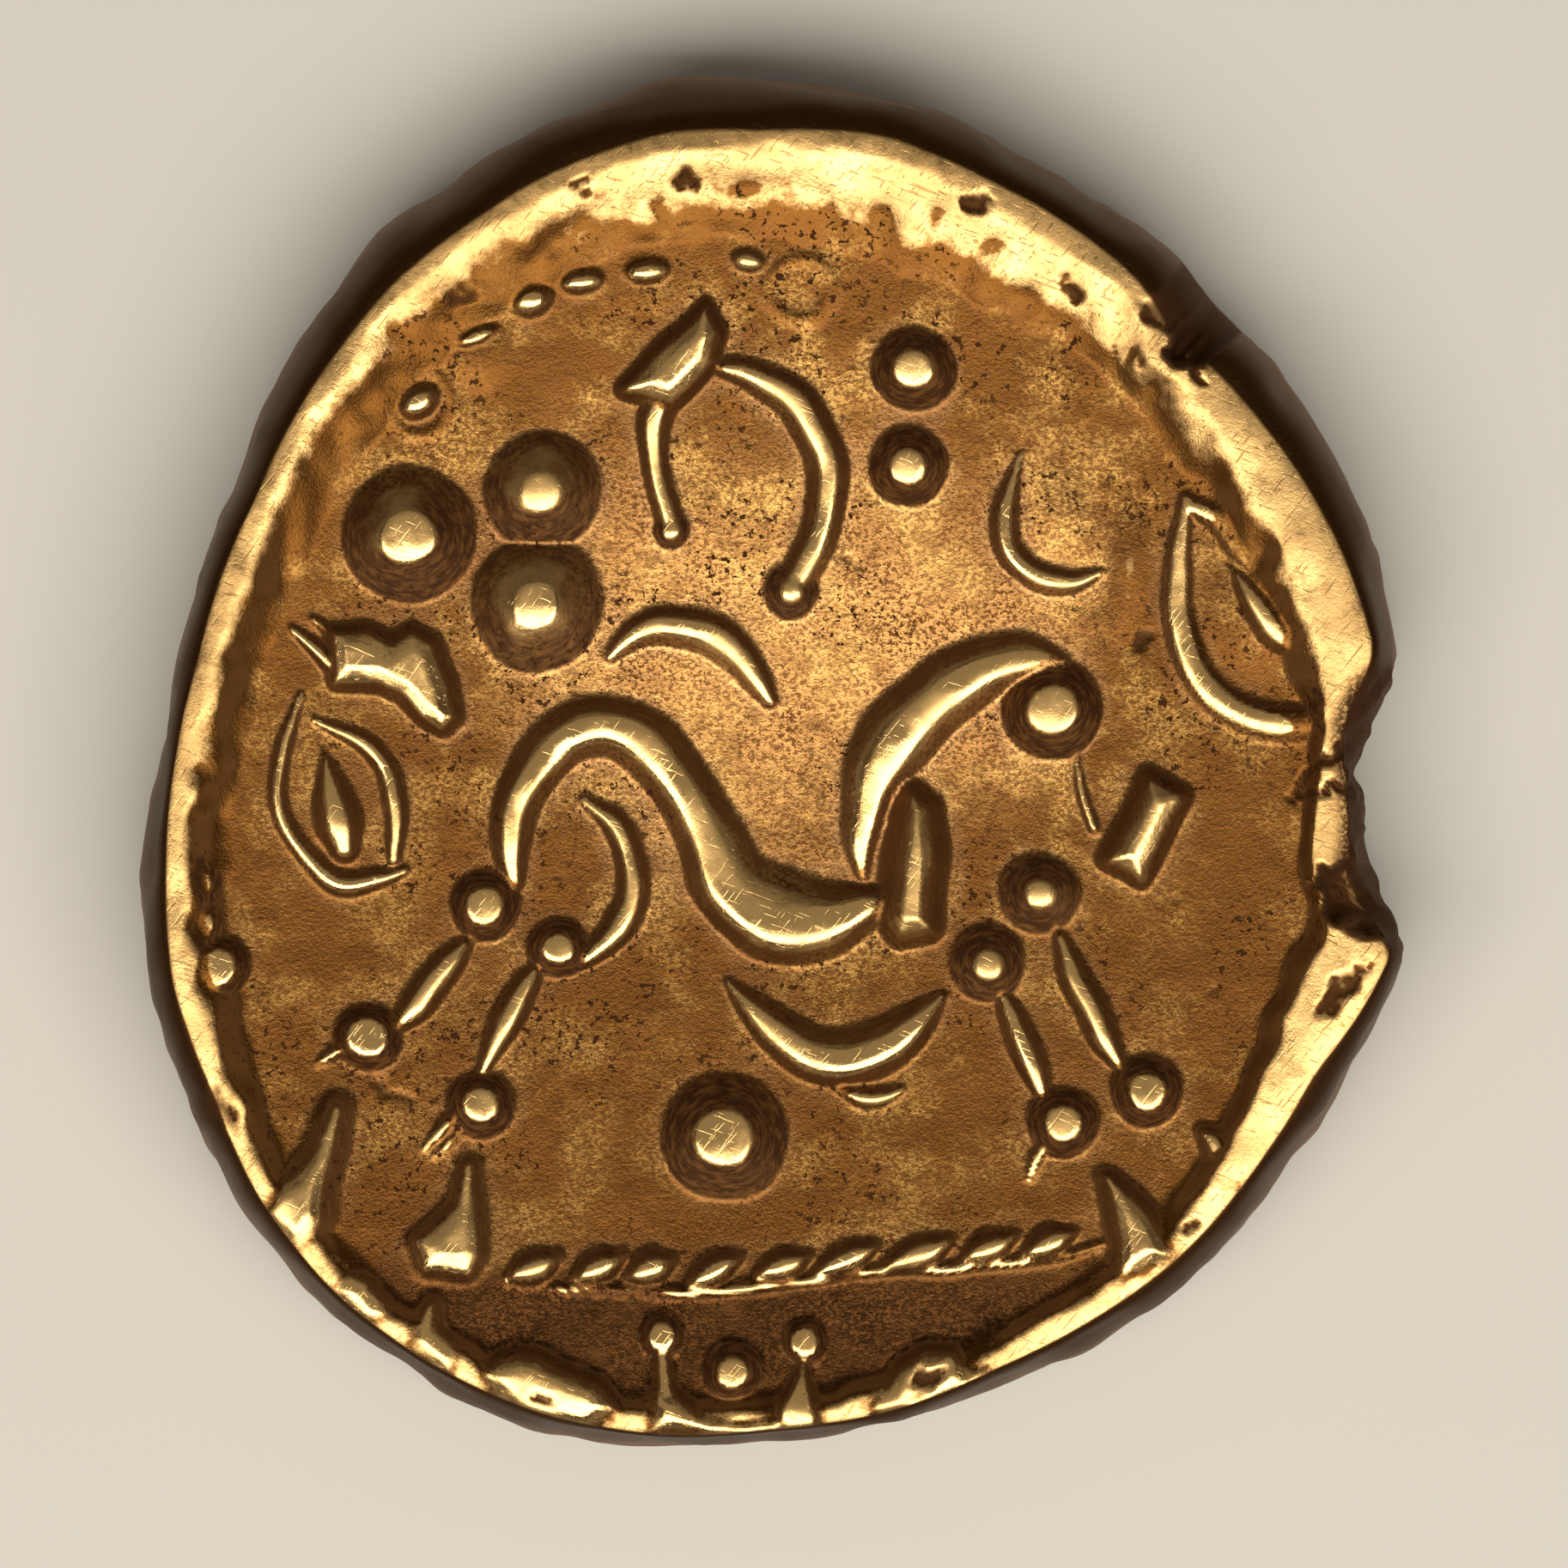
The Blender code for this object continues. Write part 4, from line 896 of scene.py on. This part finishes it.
def read_surface(mesh, readings):
    """Stores the readings, with where the gold is worn bright, steep or just outside a mark's foot."""
    places = np.empty(len(mesh.vertices) * 3, np.float32)
    mesh.vertices.foreach_get("co", places)
    normals = np.empty(len(mesh.vertices) * 3, np.float32)
    mesh.vertex_normals.foreach_get("vector", normals)
    edges = np.empty(len(mesh.edges) * 2, np.int32)
    mesh.edges.foreach_get("vertices", edges)
    places, normals = places.reshape(-1, 3).astype(float), normals.reshape(-1, 3).astype(float)
    edges = edges.reshape(-1, 2)
    near = smoothed(places, edges, NEAR_ROUNDS)
    far = smoothed(near, edges, FAR_ROUNDS)
    proud_near = ((places - near) * normals).sum(axis=1)
    proud_far = ((places - far) * normals).sum(axis=1)
    front = readings["side"] < FRONT_SHARE
    readings["rim"] = smoothed(readings["rim"][:, None], edges, NEAR_ROUNDS)[:, 0] * front
    near_rim = eased(smoothed(readings["rim"][:, None], edges, FAR_ROUNDS)[:, 0], *NEAR_RIM_RANGE)
    # Steep slopes take the brown slope colour, partly dirt and partly painted shade; less of it on the rim
    steep = eased(1 - np.abs(normals[:, 2]), *STEEP_RANGE) * front
    # Slopes facing the key light lose some of the brown, a painted light; pellets keep all of it
    lit = LIT_SIDE_PAINTED_LIGHT * eased(-normals[:, 1], *LIT_RANGE) * (1 - readings["pellet"])
    readings["steep"] = steep * (1 - RIM_LESS_DIRT_AND_SHADE * readings["rim"]) * (1 - lit)
    hollow = np.maximum(eased(-proud_near, *HOLLOW_RANGE), eased(-proud_far, *HOLLOW_FAR_RANGE)) * front
    worn = np.maximum(eased(proud_far, *WORN_RANGE), RAISED_WEAR * eased(readings["raised"], *RAISED_RANGE))
    worn = np.maximum(worn * (1 - readings["rim"]), readings["rim"] * readings.pop("rim wear"))
    readings["worn"] = worn * (1 - readings["steep"]) * (1 - HOLLOW_DIRT * hollow)
    # Just outside a mark's foot the field is made paler, a painted highlight
    readings["lip"] = hollow * (1 - readings["steep"]) * (1 - worn) * (1 - near_rim)
    for name, values in readings.items():
        mesh.attributes.new(name, "FLOAT", "POINT").data.foreach_set("value", values.astype(np.float32))


def add_node(tree, kind, inputs, **settings):
    """A node with its settings; its inputs are numbers, colours or other nodes' outputs, by name or place."""
    node = tree.nodes.new(kind)
    for setting, value in settings.items():
        setattr(node, setting, value)
    for place, value in inputs.items():
        if isinstance(value, bpy.types.NodeSocket):
            tree.links.new(value, node.inputs[place])
        else:
            node.inputs[place].default_value = value
    return node


class GoldNodes:
    """Shorthand for the few kinds of node that the gold uses."""

    def __init__(self, tree):
        self.tree = tree
        self.place = add_node(tree, "ShaderNodeTexCoord", {}).outputs["Object"]

    def reading(self, name):
        """One of the values that the surface keeps."""
        return add_node(self.tree, "ShaderNodeAttribute", {}, attribute_name=name).outputs["Fac"]

    def cloud(self, name, place=None):
        """Uneven values between 0 and 1."""
        size, detail, roughness = CLOUDS[name]
        inputs = {"Vector": place or self.place, "Scale": 1 / size, "Detail": detail, "Roughness": roughness}
        return add_node(self.tree, "ShaderNodeTexNoise", inputs).outputs["Fac"]

    def measured(self, location, turn, scale):
        """Places measured from a location, along turned directions and in lengths of their own."""
        turned = (0, 0, math.radians(turn))
        inputs = {"Vector": self.place, "Location": location, "Rotation": turned, "Scale": scale}
        return add_node(self.tree, "ShaderNodeMapping", inputs, vector_type="TEXTURE").outputs["Vector"]

    def scratches(self, name, turn, stretch):
        """Where a cloud stretched along a direction shows as scratches."""
        return self.ranged(self.cloud(name, self.measured((0, 0, 0), turn, (stretch, 1, 1))), name)

    def level(self, height):
        """Places that change fast with a mark's height in millimetres and slowly across the coin."""
        inputs = {0: self.place, "Scale": STREAK_SPREAD}
        along = add_node(self.tree, "ShaderNodeVectorMath", inputs, operation="SCALE").outputs[0]
        upward = add_node(self.tree, "ShaderNodeCombineXYZ", {"Z": self.product(height, MM)}).outputs[0]
        return add_node(self.tree, "ShaderNodeVectorMath", {0: along, 1: upward}, operation="ADD").outputs[0]

    def between(self, value, low, high, start=0, end=1):
        """A value carried smoothly from one range to another."""
        inputs = {0: value, 1: low, 2: high, 3: start, 4: end}
        node = add_node(self.tree, "ShaderNodeMapRange", inputs, interpolation_type="SMOOTHSTEP")
        return node.outputs[0]

    def ranged(self, value, name):
        """A value carried smoothly over one of the named ranges."""
        return self.between(value, *RANGES[name])

    def math(self, operation, first, second):
        """Two numbers put through one operation."""
        return add_node(self.tree, "ShaderNodeMath", {0: first, 1: second}, operation=operation).outputs[0]

    def product(self, first, second):
        """One number times another."""
        return self.math("MULTIPLY", first, second)

    def total(self, first, second):
        """Two numbers added up."""
        return self.math("ADD", first, second)

    def larger(self, first, second):
        """The larger of two numbers."""
        return self.math("MAXIMUM", first, second)

    def mix(self, share, first, second):
        """Two numbers blended by a share."""
        return add_node(self.tree, "ShaderNodeMix", {0: share, 2: first, 3: second}).outputs[0]

    def colours(self, share, first, second):
        """Two colours blended by a share."""
        inputs = {0: share, 6: first, 7: second}
        return add_node(self.tree, "ShaderNodeMix", inputs, data_type="RGBA").outputs[2]


def field_colour(nodes, finish, grains, patches, blotches):
    """The field: painted sheen in the middle, toned towards the rim, painted shade in the exergue, and grainy."""
    location, scale = ((x * GRID_X, y * GRID_Y, z) for x, y, z in ((*BRIGHT_MIDDLE, 0), (*BRIGHT_REACH, 1)))
    centre = nodes.measured(location, 0, scale)
    away = add_node(nodes.tree, "ShaderNodeVectorMath", {0: centre}, operation="LENGTH").outputs["Value"]
    away = nodes.total(away, nodes.product(nodes.cloud("drifts"), DRIFT))
    height_up = add_node(nodes.tree, "ShaderNodeSeparateXYZ", {0: nodes.place}).outputs["Y"]
    exergue = nodes.between(height_up, EXERGUE[0] * GRID_Y, EXERGUE[1] * GRID_Y, 1, 0)
    # The field colour in the middle, with the brighter grains below, is partly a painted sheen; it fades to toning
    # outward
    field = nodes.colours(nodes.ranged(away, "toned"), finish.field, finish.toning)
    # The exergue takes the dark brown colour, a painted shade
    field = nodes.colours(exergue, field, finish.exergue)
    # Brighter grains in the middle, kept out of the exergue, in a painted sheen colour
    middle = nodes.product(nodes.ranged(away, "brighter inward"), nodes.ranged(exergue, "outside the exergue"))
    bright = nodes.product(nodes.ranged(patches, "bright patch"), middle)
    bright = nodes.product(bright, nodes.ranged(grains, "bright grain"))
    field = nodes.colours(bright, field, finish.painted_sheen_grains)
    dark = nodes.product(nodes.ranged(grains, "dark grain"), nodes.ranged(patches, "dark patch"))
    dark = nodes.larger(dark, nodes.ranged(blotches, "dark blotch"))
    field = nodes.colours(dark, field, finish.dark_grains)
    # A paler ring outside the marks' feet in the middle, a painted highlight
    pale = nodes.product(nodes.reading("lip"), nodes.ranged(grains, "pale lip"))
    return nodes.colours(nodes.product(pale, middle), field, finish.lip)


def gold(finish):
    """Worn gold: polished high places, a grainy field, dark specks, and painted sheen and shade on field, slopes and
    side.
    """
    material = bpy.data.materials.new("worn_gold")
    material.use_nodes = True
    tree = material.node_tree
    nodes = GoldNodes(tree)
    names = ("worn", "steep", "side", "broken", "pitted", "rim", "raised", "pellet")
    worn, steep, side, broken, pitted, rim, raised, pellet = (nodes.reading(name) for name in names)
    names = ("patches", "grains", "blotches", "fine grains")
    patches, grains, blotches, fine = (nodes.cloud(name) for name in names)
    scratches = nodes.larger(
        nodes.scratches("first scratches", *FIRST_SCRATCHES),
        nodes.scratches("second scratches", *SECOND_SCRATCHES),
    )
    either = {name: nodes.mix(rim, *values) for name, values in ON_FIELD_AND_RIM.items()}

    field = field_colour(nodes, finish, grains, patches, blotches)
    field = nodes.colours(nodes.ranged(rim, "toned rim"), field, finish.toning)
    mottled = nodes.total(nodes.product(grains, GRAIN_MOTTLING), nodes.product(blotches, either["mottling"]))
    rubbed = nodes.between(nodes.total(worn, mottled), either["least rubbed"], either["most rubbed"])
    surface = nodes.colours(rubbed, field, finish.polished)
    surface = nodes.colours(nodes.product(scratches, either["scratch's colour"]), surface, finish.toning)
    # The slopes' brown, partly dirt and partly painted shade, is lighter on streaks and on the ridges' and rim's
    # sides
    streaks = nodes.ranged(nodes.cloud("streaks", nodes.level(raised)), "streak")
    light = nodes.larger(streaks, nodes.mix(pellet, either["lighter slope"], 0))
    slope = nodes.colours(light, finish.slope, finish.slope_light)
    dirt_and_shade = nodes.ranged(nodes.total(steep, nodes.product(grains, GRAIN_IN_DIRT_AND_SHADE)), "dirty slope")
    surface = nodes.colours(dirt_and_shade, surface, slope)
    # The coin's side takes the dark edge colour, a painted shade, turning to toning towards the back
    rolled = nodes.ranged(nodes.total(side, nodes.product(patches, PATCHY_SIDE)), "rolled side")
    edge = nodes.colours(nodes.ranged(side, "toned side"), finish.edge, finish.toning)
    surface = nodes.colours(rolled, surface, edge)
    crumbly = nodes.product(broken, nodes.ranged(grains, "crumb"))
    crumbly = nodes.larger(crumbly, nodes.product(pitted, PITTED_DIRT))
    surface = nodes.colours(crumbly, surface, finish.crumbs)
    specks, groups = (nodes.ranged(nodes.cloud(name), name) for name in ("specks", "speck groups"))
    specks = nodes.product(nodes.product(specks, groups), nodes.ranged(worn, "specked"))
    surface = nodes.colours(specks, surface, finish.crumbs)
    crumbs = nodes.larger(specks, crumbly)

    polish = nodes.mix(rim, finish.polish_roughness, finish.rim_roughness)
    polish = nodes.total(polish, nodes.ranged(patches, "dull patch"))
    roughness = nodes.mix(rubbed, finish.field_roughness, polish)
    roughness = nodes.mix(nodes.product(scratches, SCRATCH_DULLNESS), roughness, finish.field_roughness)
    roughness = nodes.mix(nodes.larger(dirt_and_shade, rolled), roughness, finish.slope_roughness)
    roughness = nodes.mix(crumbs, roughness, CRUMB_ROUGHNESS)
    metal = nodes.mix(crumbs, nodes.mix(dirt_and_shade, 1, DIRT_AND_SHADE_METAL), CRUMB_METAL)

    relief = nodes.total(nodes.product(grains, GRAIN_RELIEF), nodes.product(fine, FINE_RELIEF))
    relief = nodes.math("SUBTRACT", relief, nodes.product(specks, SPECK_DEPTH))
    strength = nodes.mix(dirt_and_shade, nodes.mix(rubbed, 1, either["rubbed grain's depth"]), DIRT_AND_SHADE_GRAIN)
    inputs = {"Strength": strength, "Distance": finish.grain_depth, "Height": relief}
    grainy = add_node(tree, "ShaderNodeBump", inputs).outputs["Normal"]
    strength = nodes.mix(rubbed, UNRUBBED_SCRATCH, either["scratch's depth"])
    inputs = {"Strength": strength, "Distance": finish.scratch_depth, "Height": scratches, "Normal": grainy}
    scratched = add_node(tree, "ShaderNodeBump", inputs, invert=True).outputs["Normal"]

    shader = tree.nodes["Principled BSDF"]
    finished = {"Base Color": surface, "Roughness": roughness, "Metallic": metal, "Normal": scratched}
    for name, value in finished.items():
        tree.links.new(value, shader.inputs[name])
    return material


def length_property(name, description, default):
    """A setting that is a length in metres."""
    return FloatProperty(
        name=name, description=description, default=default, min=0, precision=5, subtype="DISTANCE", unit="LENGTH"
    )


def colour_property(name, description, default):
    """A setting that is a colour and its opacity."""
    return FloatVectorProperty(
        name=name, description=description, default=default, min=0, max=1, size=4, subtype="COLOR"
    )


def share_property(name, description, default):
    """A setting from 0 to 1."""
    return FloatProperty(name=name, description=description, default=default, min=0, max=1, subtype="FACTOR")


class CoinSizes(bpy.types.PropertyGroup):
    """Heights of the struck relief"""

    dish_depth: length_property("Dish depth", "How much lower the field is in the middle", 0.42 * MM)
    rim_rise: length_property("Rim rise", "Height of the rim above the field", 0.34 * MM)
    tallest_pellet: length_property("Pellet limit", "Height at which broad pellets level off", 0.75 * MM)
    tallest_ridge: length_property("Ridge limit", "Height at which broad ridges level off", 0.46 * MM)
    low_ridge_rise: length_property("Low ridge limit", "Height at which the low ridges level off", 0.13 * MM)
    stem_rise: length_property("Stem limit", "Height at which the posts' stems level off", 0.34 * MM)
    strand_rise: length_property("Strand rise", "Height of the twisted ground line's strands", 0.24 * MM)
    dome_rise: length_property("Dome rise", "Height of the low worn domes", 0.045 * MM)
    ring_rise: length_property("Ring rise", "Height of the low worn rings", 0.022 * MM)
    ripple: length_property("Ripple", "Unevenness of the struck side", 0.009 * MM)


class GoldFinish(bpy.types.PropertyGroup):
    """Colours and polish of the worn gold"""

    # The field colour shows in the middle, where it is partly a painted sheen
    field: colour_property("Field", "The grainy field in the middle", (0.78, 0.41, 0.14, 1))
    # A painted shade: the dark brown below the ground line
    exergue: colour_property("Exergue", "The brown field under the ground line", (0.05, 0.0225, 0.0085, 1))
    toning: colour_property("Toning", "The warmer field towards the rim", (0.165, 0.068, 0.014, 1))
    # A painted sheen: the brighter grains in the field's middle
    painted_sheen_grains: colour_property("Bright grains", "Patches where the grain is rubbed bright", (1.0, 0.59, 0.18, 1))
    dark_grains: colour_property("Dark grains", "The low places of the grain", (0.15, 0.06, 0.018, 1))
    # A painted highlight: the paler field just outside a mark's foot
    lip: colour_property("Lip", "The field just outside a raised mark's foot", (0.5, 0.31, 0.16, 1))
    polished: colour_property("Polished gold", "Worn high places", (1.0, 0.64, 0.26, 1))
    # The slopes' browns are partly dirt and partly painted shade for the dark reflection of steep sides
    slope: colour_property("Slopes", "The brown sides of raised marks", (0.075, 0.028, 0.008, 1))
    slope_light: colour_property("Lighter slopes", "Where less brown clings to the sides", (0.22, 0.095, 0.024, 1))
    # A painted shade: the dark colour of the coin's side
    edge: colour_property("Edge", "The coin's side", (0.065, 0.028, 0.009, 1))
    crumbs: colour_property("Crumbs", "Dark specks and the broken edge's dirt", (0.08, 0.032, 0.011, 1))
    field_roughness: share_property("Field roughness", "How dull the grainy field is", 0.32)
    polish_roughness: share_property("Polish roughness", "How dull the worn high places are", 0.16)
    rim_roughness: share_property("Rim roughness", "How dull the worn rim is", 0.38)
    slope_roughness: share_property("Slope roughness", "How dull the brown sides are", 0.5)
    grain_depth: length_property("Grain depth", "Depth of the field's grain", 0.013 * MM)
    scratch_depth: length_property("Scratch depth", "Depth of the fine scratches", 0.004 * MM)


class StudioSettings(bpy.types.PropertyGroup):
    """Floor, lights and camera"""

    floor_colour: colour_property("Floor", "The plain pale floor", (0.66, 0.65, 0.63, 1))
    floor_size: length_property("Floor size", "Length of the floor's side", 0.6)
    key_colour: colour_property("Key colour", "Light from the bottom of the picture", (1, 0.93, 0.8, 1))
    key_power: FloatProperty(name="Key power", description="Strength of the key light", default=0.6, unit="POWER")
    sky_colour: colour_property("Overhead colour", "The broad panel above the coin", (1, 0.96, 0.8, 1))
    sky_power: FloatProperty(name="Overhead power", description="Strength of the panel", default=0.29, unit="POWER")
    dimness: colour_property("Surroundings", "The dim room around the coin", (0.07, 0.058, 0.046, 1))
    camera_height: length_property("Camera height", "Height of the camera above the floor", 0.25)


class OBJECT_OT_coin_surface(bpy.types.Operator):
    """Builds the coin's fine surface in place of the plain solid"""

    bl_idname = "gold_coin.surface"
    bl_label = "Coin Surface"

    def execute(self, context):
        piece = blank()
        mesh = piece.data
        flat = np.empty(len(mesh.vertices) * 3, np.float32)
        mesh.vertices.foreach_get("co", flat)
        places, readings = shaped(flat.reshape(-1, 3).astype(float), context.scene.coin_sizes)
        if not np.isfinite(places).all():
            raise RuntimeError("the coin's surface has a place that isn't a number")
        mesh.vertices.foreach_set("co", places.ravel())
        mesh.update()
        mesh.shade_smooth()
        read_surface(mesh, readings)
        mesh.materials.clear()
        mesh.materials.append(gold(context.scene.gold_finish))
        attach(piece, "root")
        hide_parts("coin")
        return {"FINISHED"}


def area_light(name, power, colour, size, azimuth, elevation, distance):
    """A soft panel that shines at the coin from a direction in degrees, +X counted as azimuth 0."""
    light = bpy.data.lights.new(name, "AREA")
    light.shape = "RECTANGLE"
    light.size, light.size_y = size
    light.energy = power
    light.color = colour[:3]
    lamp = bpy.data.objects.new(name, light)
    bpy.context.collection.objects.link(lamp)
    azimuth, elevation = math.radians(azimuth), math.radians(elevation)
    level = math.cos(elevation)
    way = Vector((math.cos(azimuth) * level, math.sin(azimuth) * level, math.sin(elevation)))
    lamp.location = way * distance
    lamp.rotation_euler = way.to_track_quat("Z", "Y").to_euler()


class OBJECT_OT_coin_stage(bpy.types.Operator):
    """Adds the floor, the lights and the camera"""

    bl_idname = "gold_coin.stage"
    bl_label = "Stage"

    def execute(self, context):
        studio = context.scene.coin_studio
        bpy.ops.object.select_all(action="DESELECT")
        bpy.ops.mesh.primitive_plane_add(size=studio.floor_size)
        floor = context.object
        floor.name = "floor"
        paint = bpy.data.materials.new("pale_floor")
        paint.use_nodes = True
        shader = paint.node_tree.nodes["Principled BSDF"]
        shader.inputs["Base Color"].default_value = studio.floor_colour
        shader.inputs["Roughness"].default_value = FLOOR_ROUGHNESS
        floor.data.materials.append(paint)
        area_light("key", studio.key_power, studio.key_colour, *KEY_PANEL)
        area_light("overhead", studio.sky_power, studio.sky_colour, *OVERHEAD_PANEL)
        world = bpy.data.worlds.new("studio")
        world.use_nodes = True
        world.node_tree.nodes["Background"].inputs["Color"].default_value = studio.dimness
        context.scene.world = world
        lens = bpy.data.cameras.new("camera")
        camera = bpy.data.objects.new("camera", lens)
        context.collection.objects.link(camera)
        camera.location = (AIM_X * GRID_X, AIM_Y * GRID_Y, studio.camera_height)
        lens.angle = 2 * math.atan(0.5 * SQUARES_SEEN * GRID_Y / (studio.camera_height - THICKNESS))
        lens.clip_start = NEAREST_SEEN
        context.scene.camera = camera
        context.scene.view_settings.view_transform = "Standard"
        return {"FINISHED"}


class VIEW3D_PT_gold_coin(bpy.types.Panel):
    """The coin's pieces and their settings"""

    bl_label = "Gold Coin"
    bl_space_type = "VIEW_3D"
    bl_region_type = "UI"
    bl_category = "Gold Coin"

    def draw(self, context):
        scene = context.scene
        for operator, settings in (
            ("gold_coin.surface", (scene.coin_sizes, scene.gold_finish)),
            ("gold_coin.stage", (scene.coin_studio,)),
        ):
            box = self.layout.box()
            box.operator(operator)
            for group in settings:
                for name in group.__annotations__:
                    box.prop(group, name)


CLASSES = (
    CoinSizes,
    GoldFinish,
    StudioSettings,
    OBJECT_OT_coin_surface,
    OBJECT_OT_coin_stage,
    VIEW3D_PT_gold_coin,
)


def register():
    """Makes the pieces, their settings and the panel known."""
    for each in CLASSES:
        bpy.utils.register_class(each)
    bpy.types.Scene.coin_sizes = PointerProperty(type=CoinSizes)
    bpy.types.Scene.gold_finish = PointerProperty(type=GoldFinish)
    bpy.types.Scene.coin_studio = PointerProperty(type=StudioSettings)


def unregister():
    """Takes all of them away again."""
    del bpy.types.Scene.coin_sizes, bpy.types.Scene.gold_finish, bpy.types.Scene.coin_studio
    for each in reversed(CLASSES):
        bpy.utils.unregister_class(each)


def main():
    """Builds the coin and its stage."""
    register()
    bpy.ops.gold_coin.surface()
    bpy.ops.gold_coin.stage()


if __name__ == "__main__":
    main()
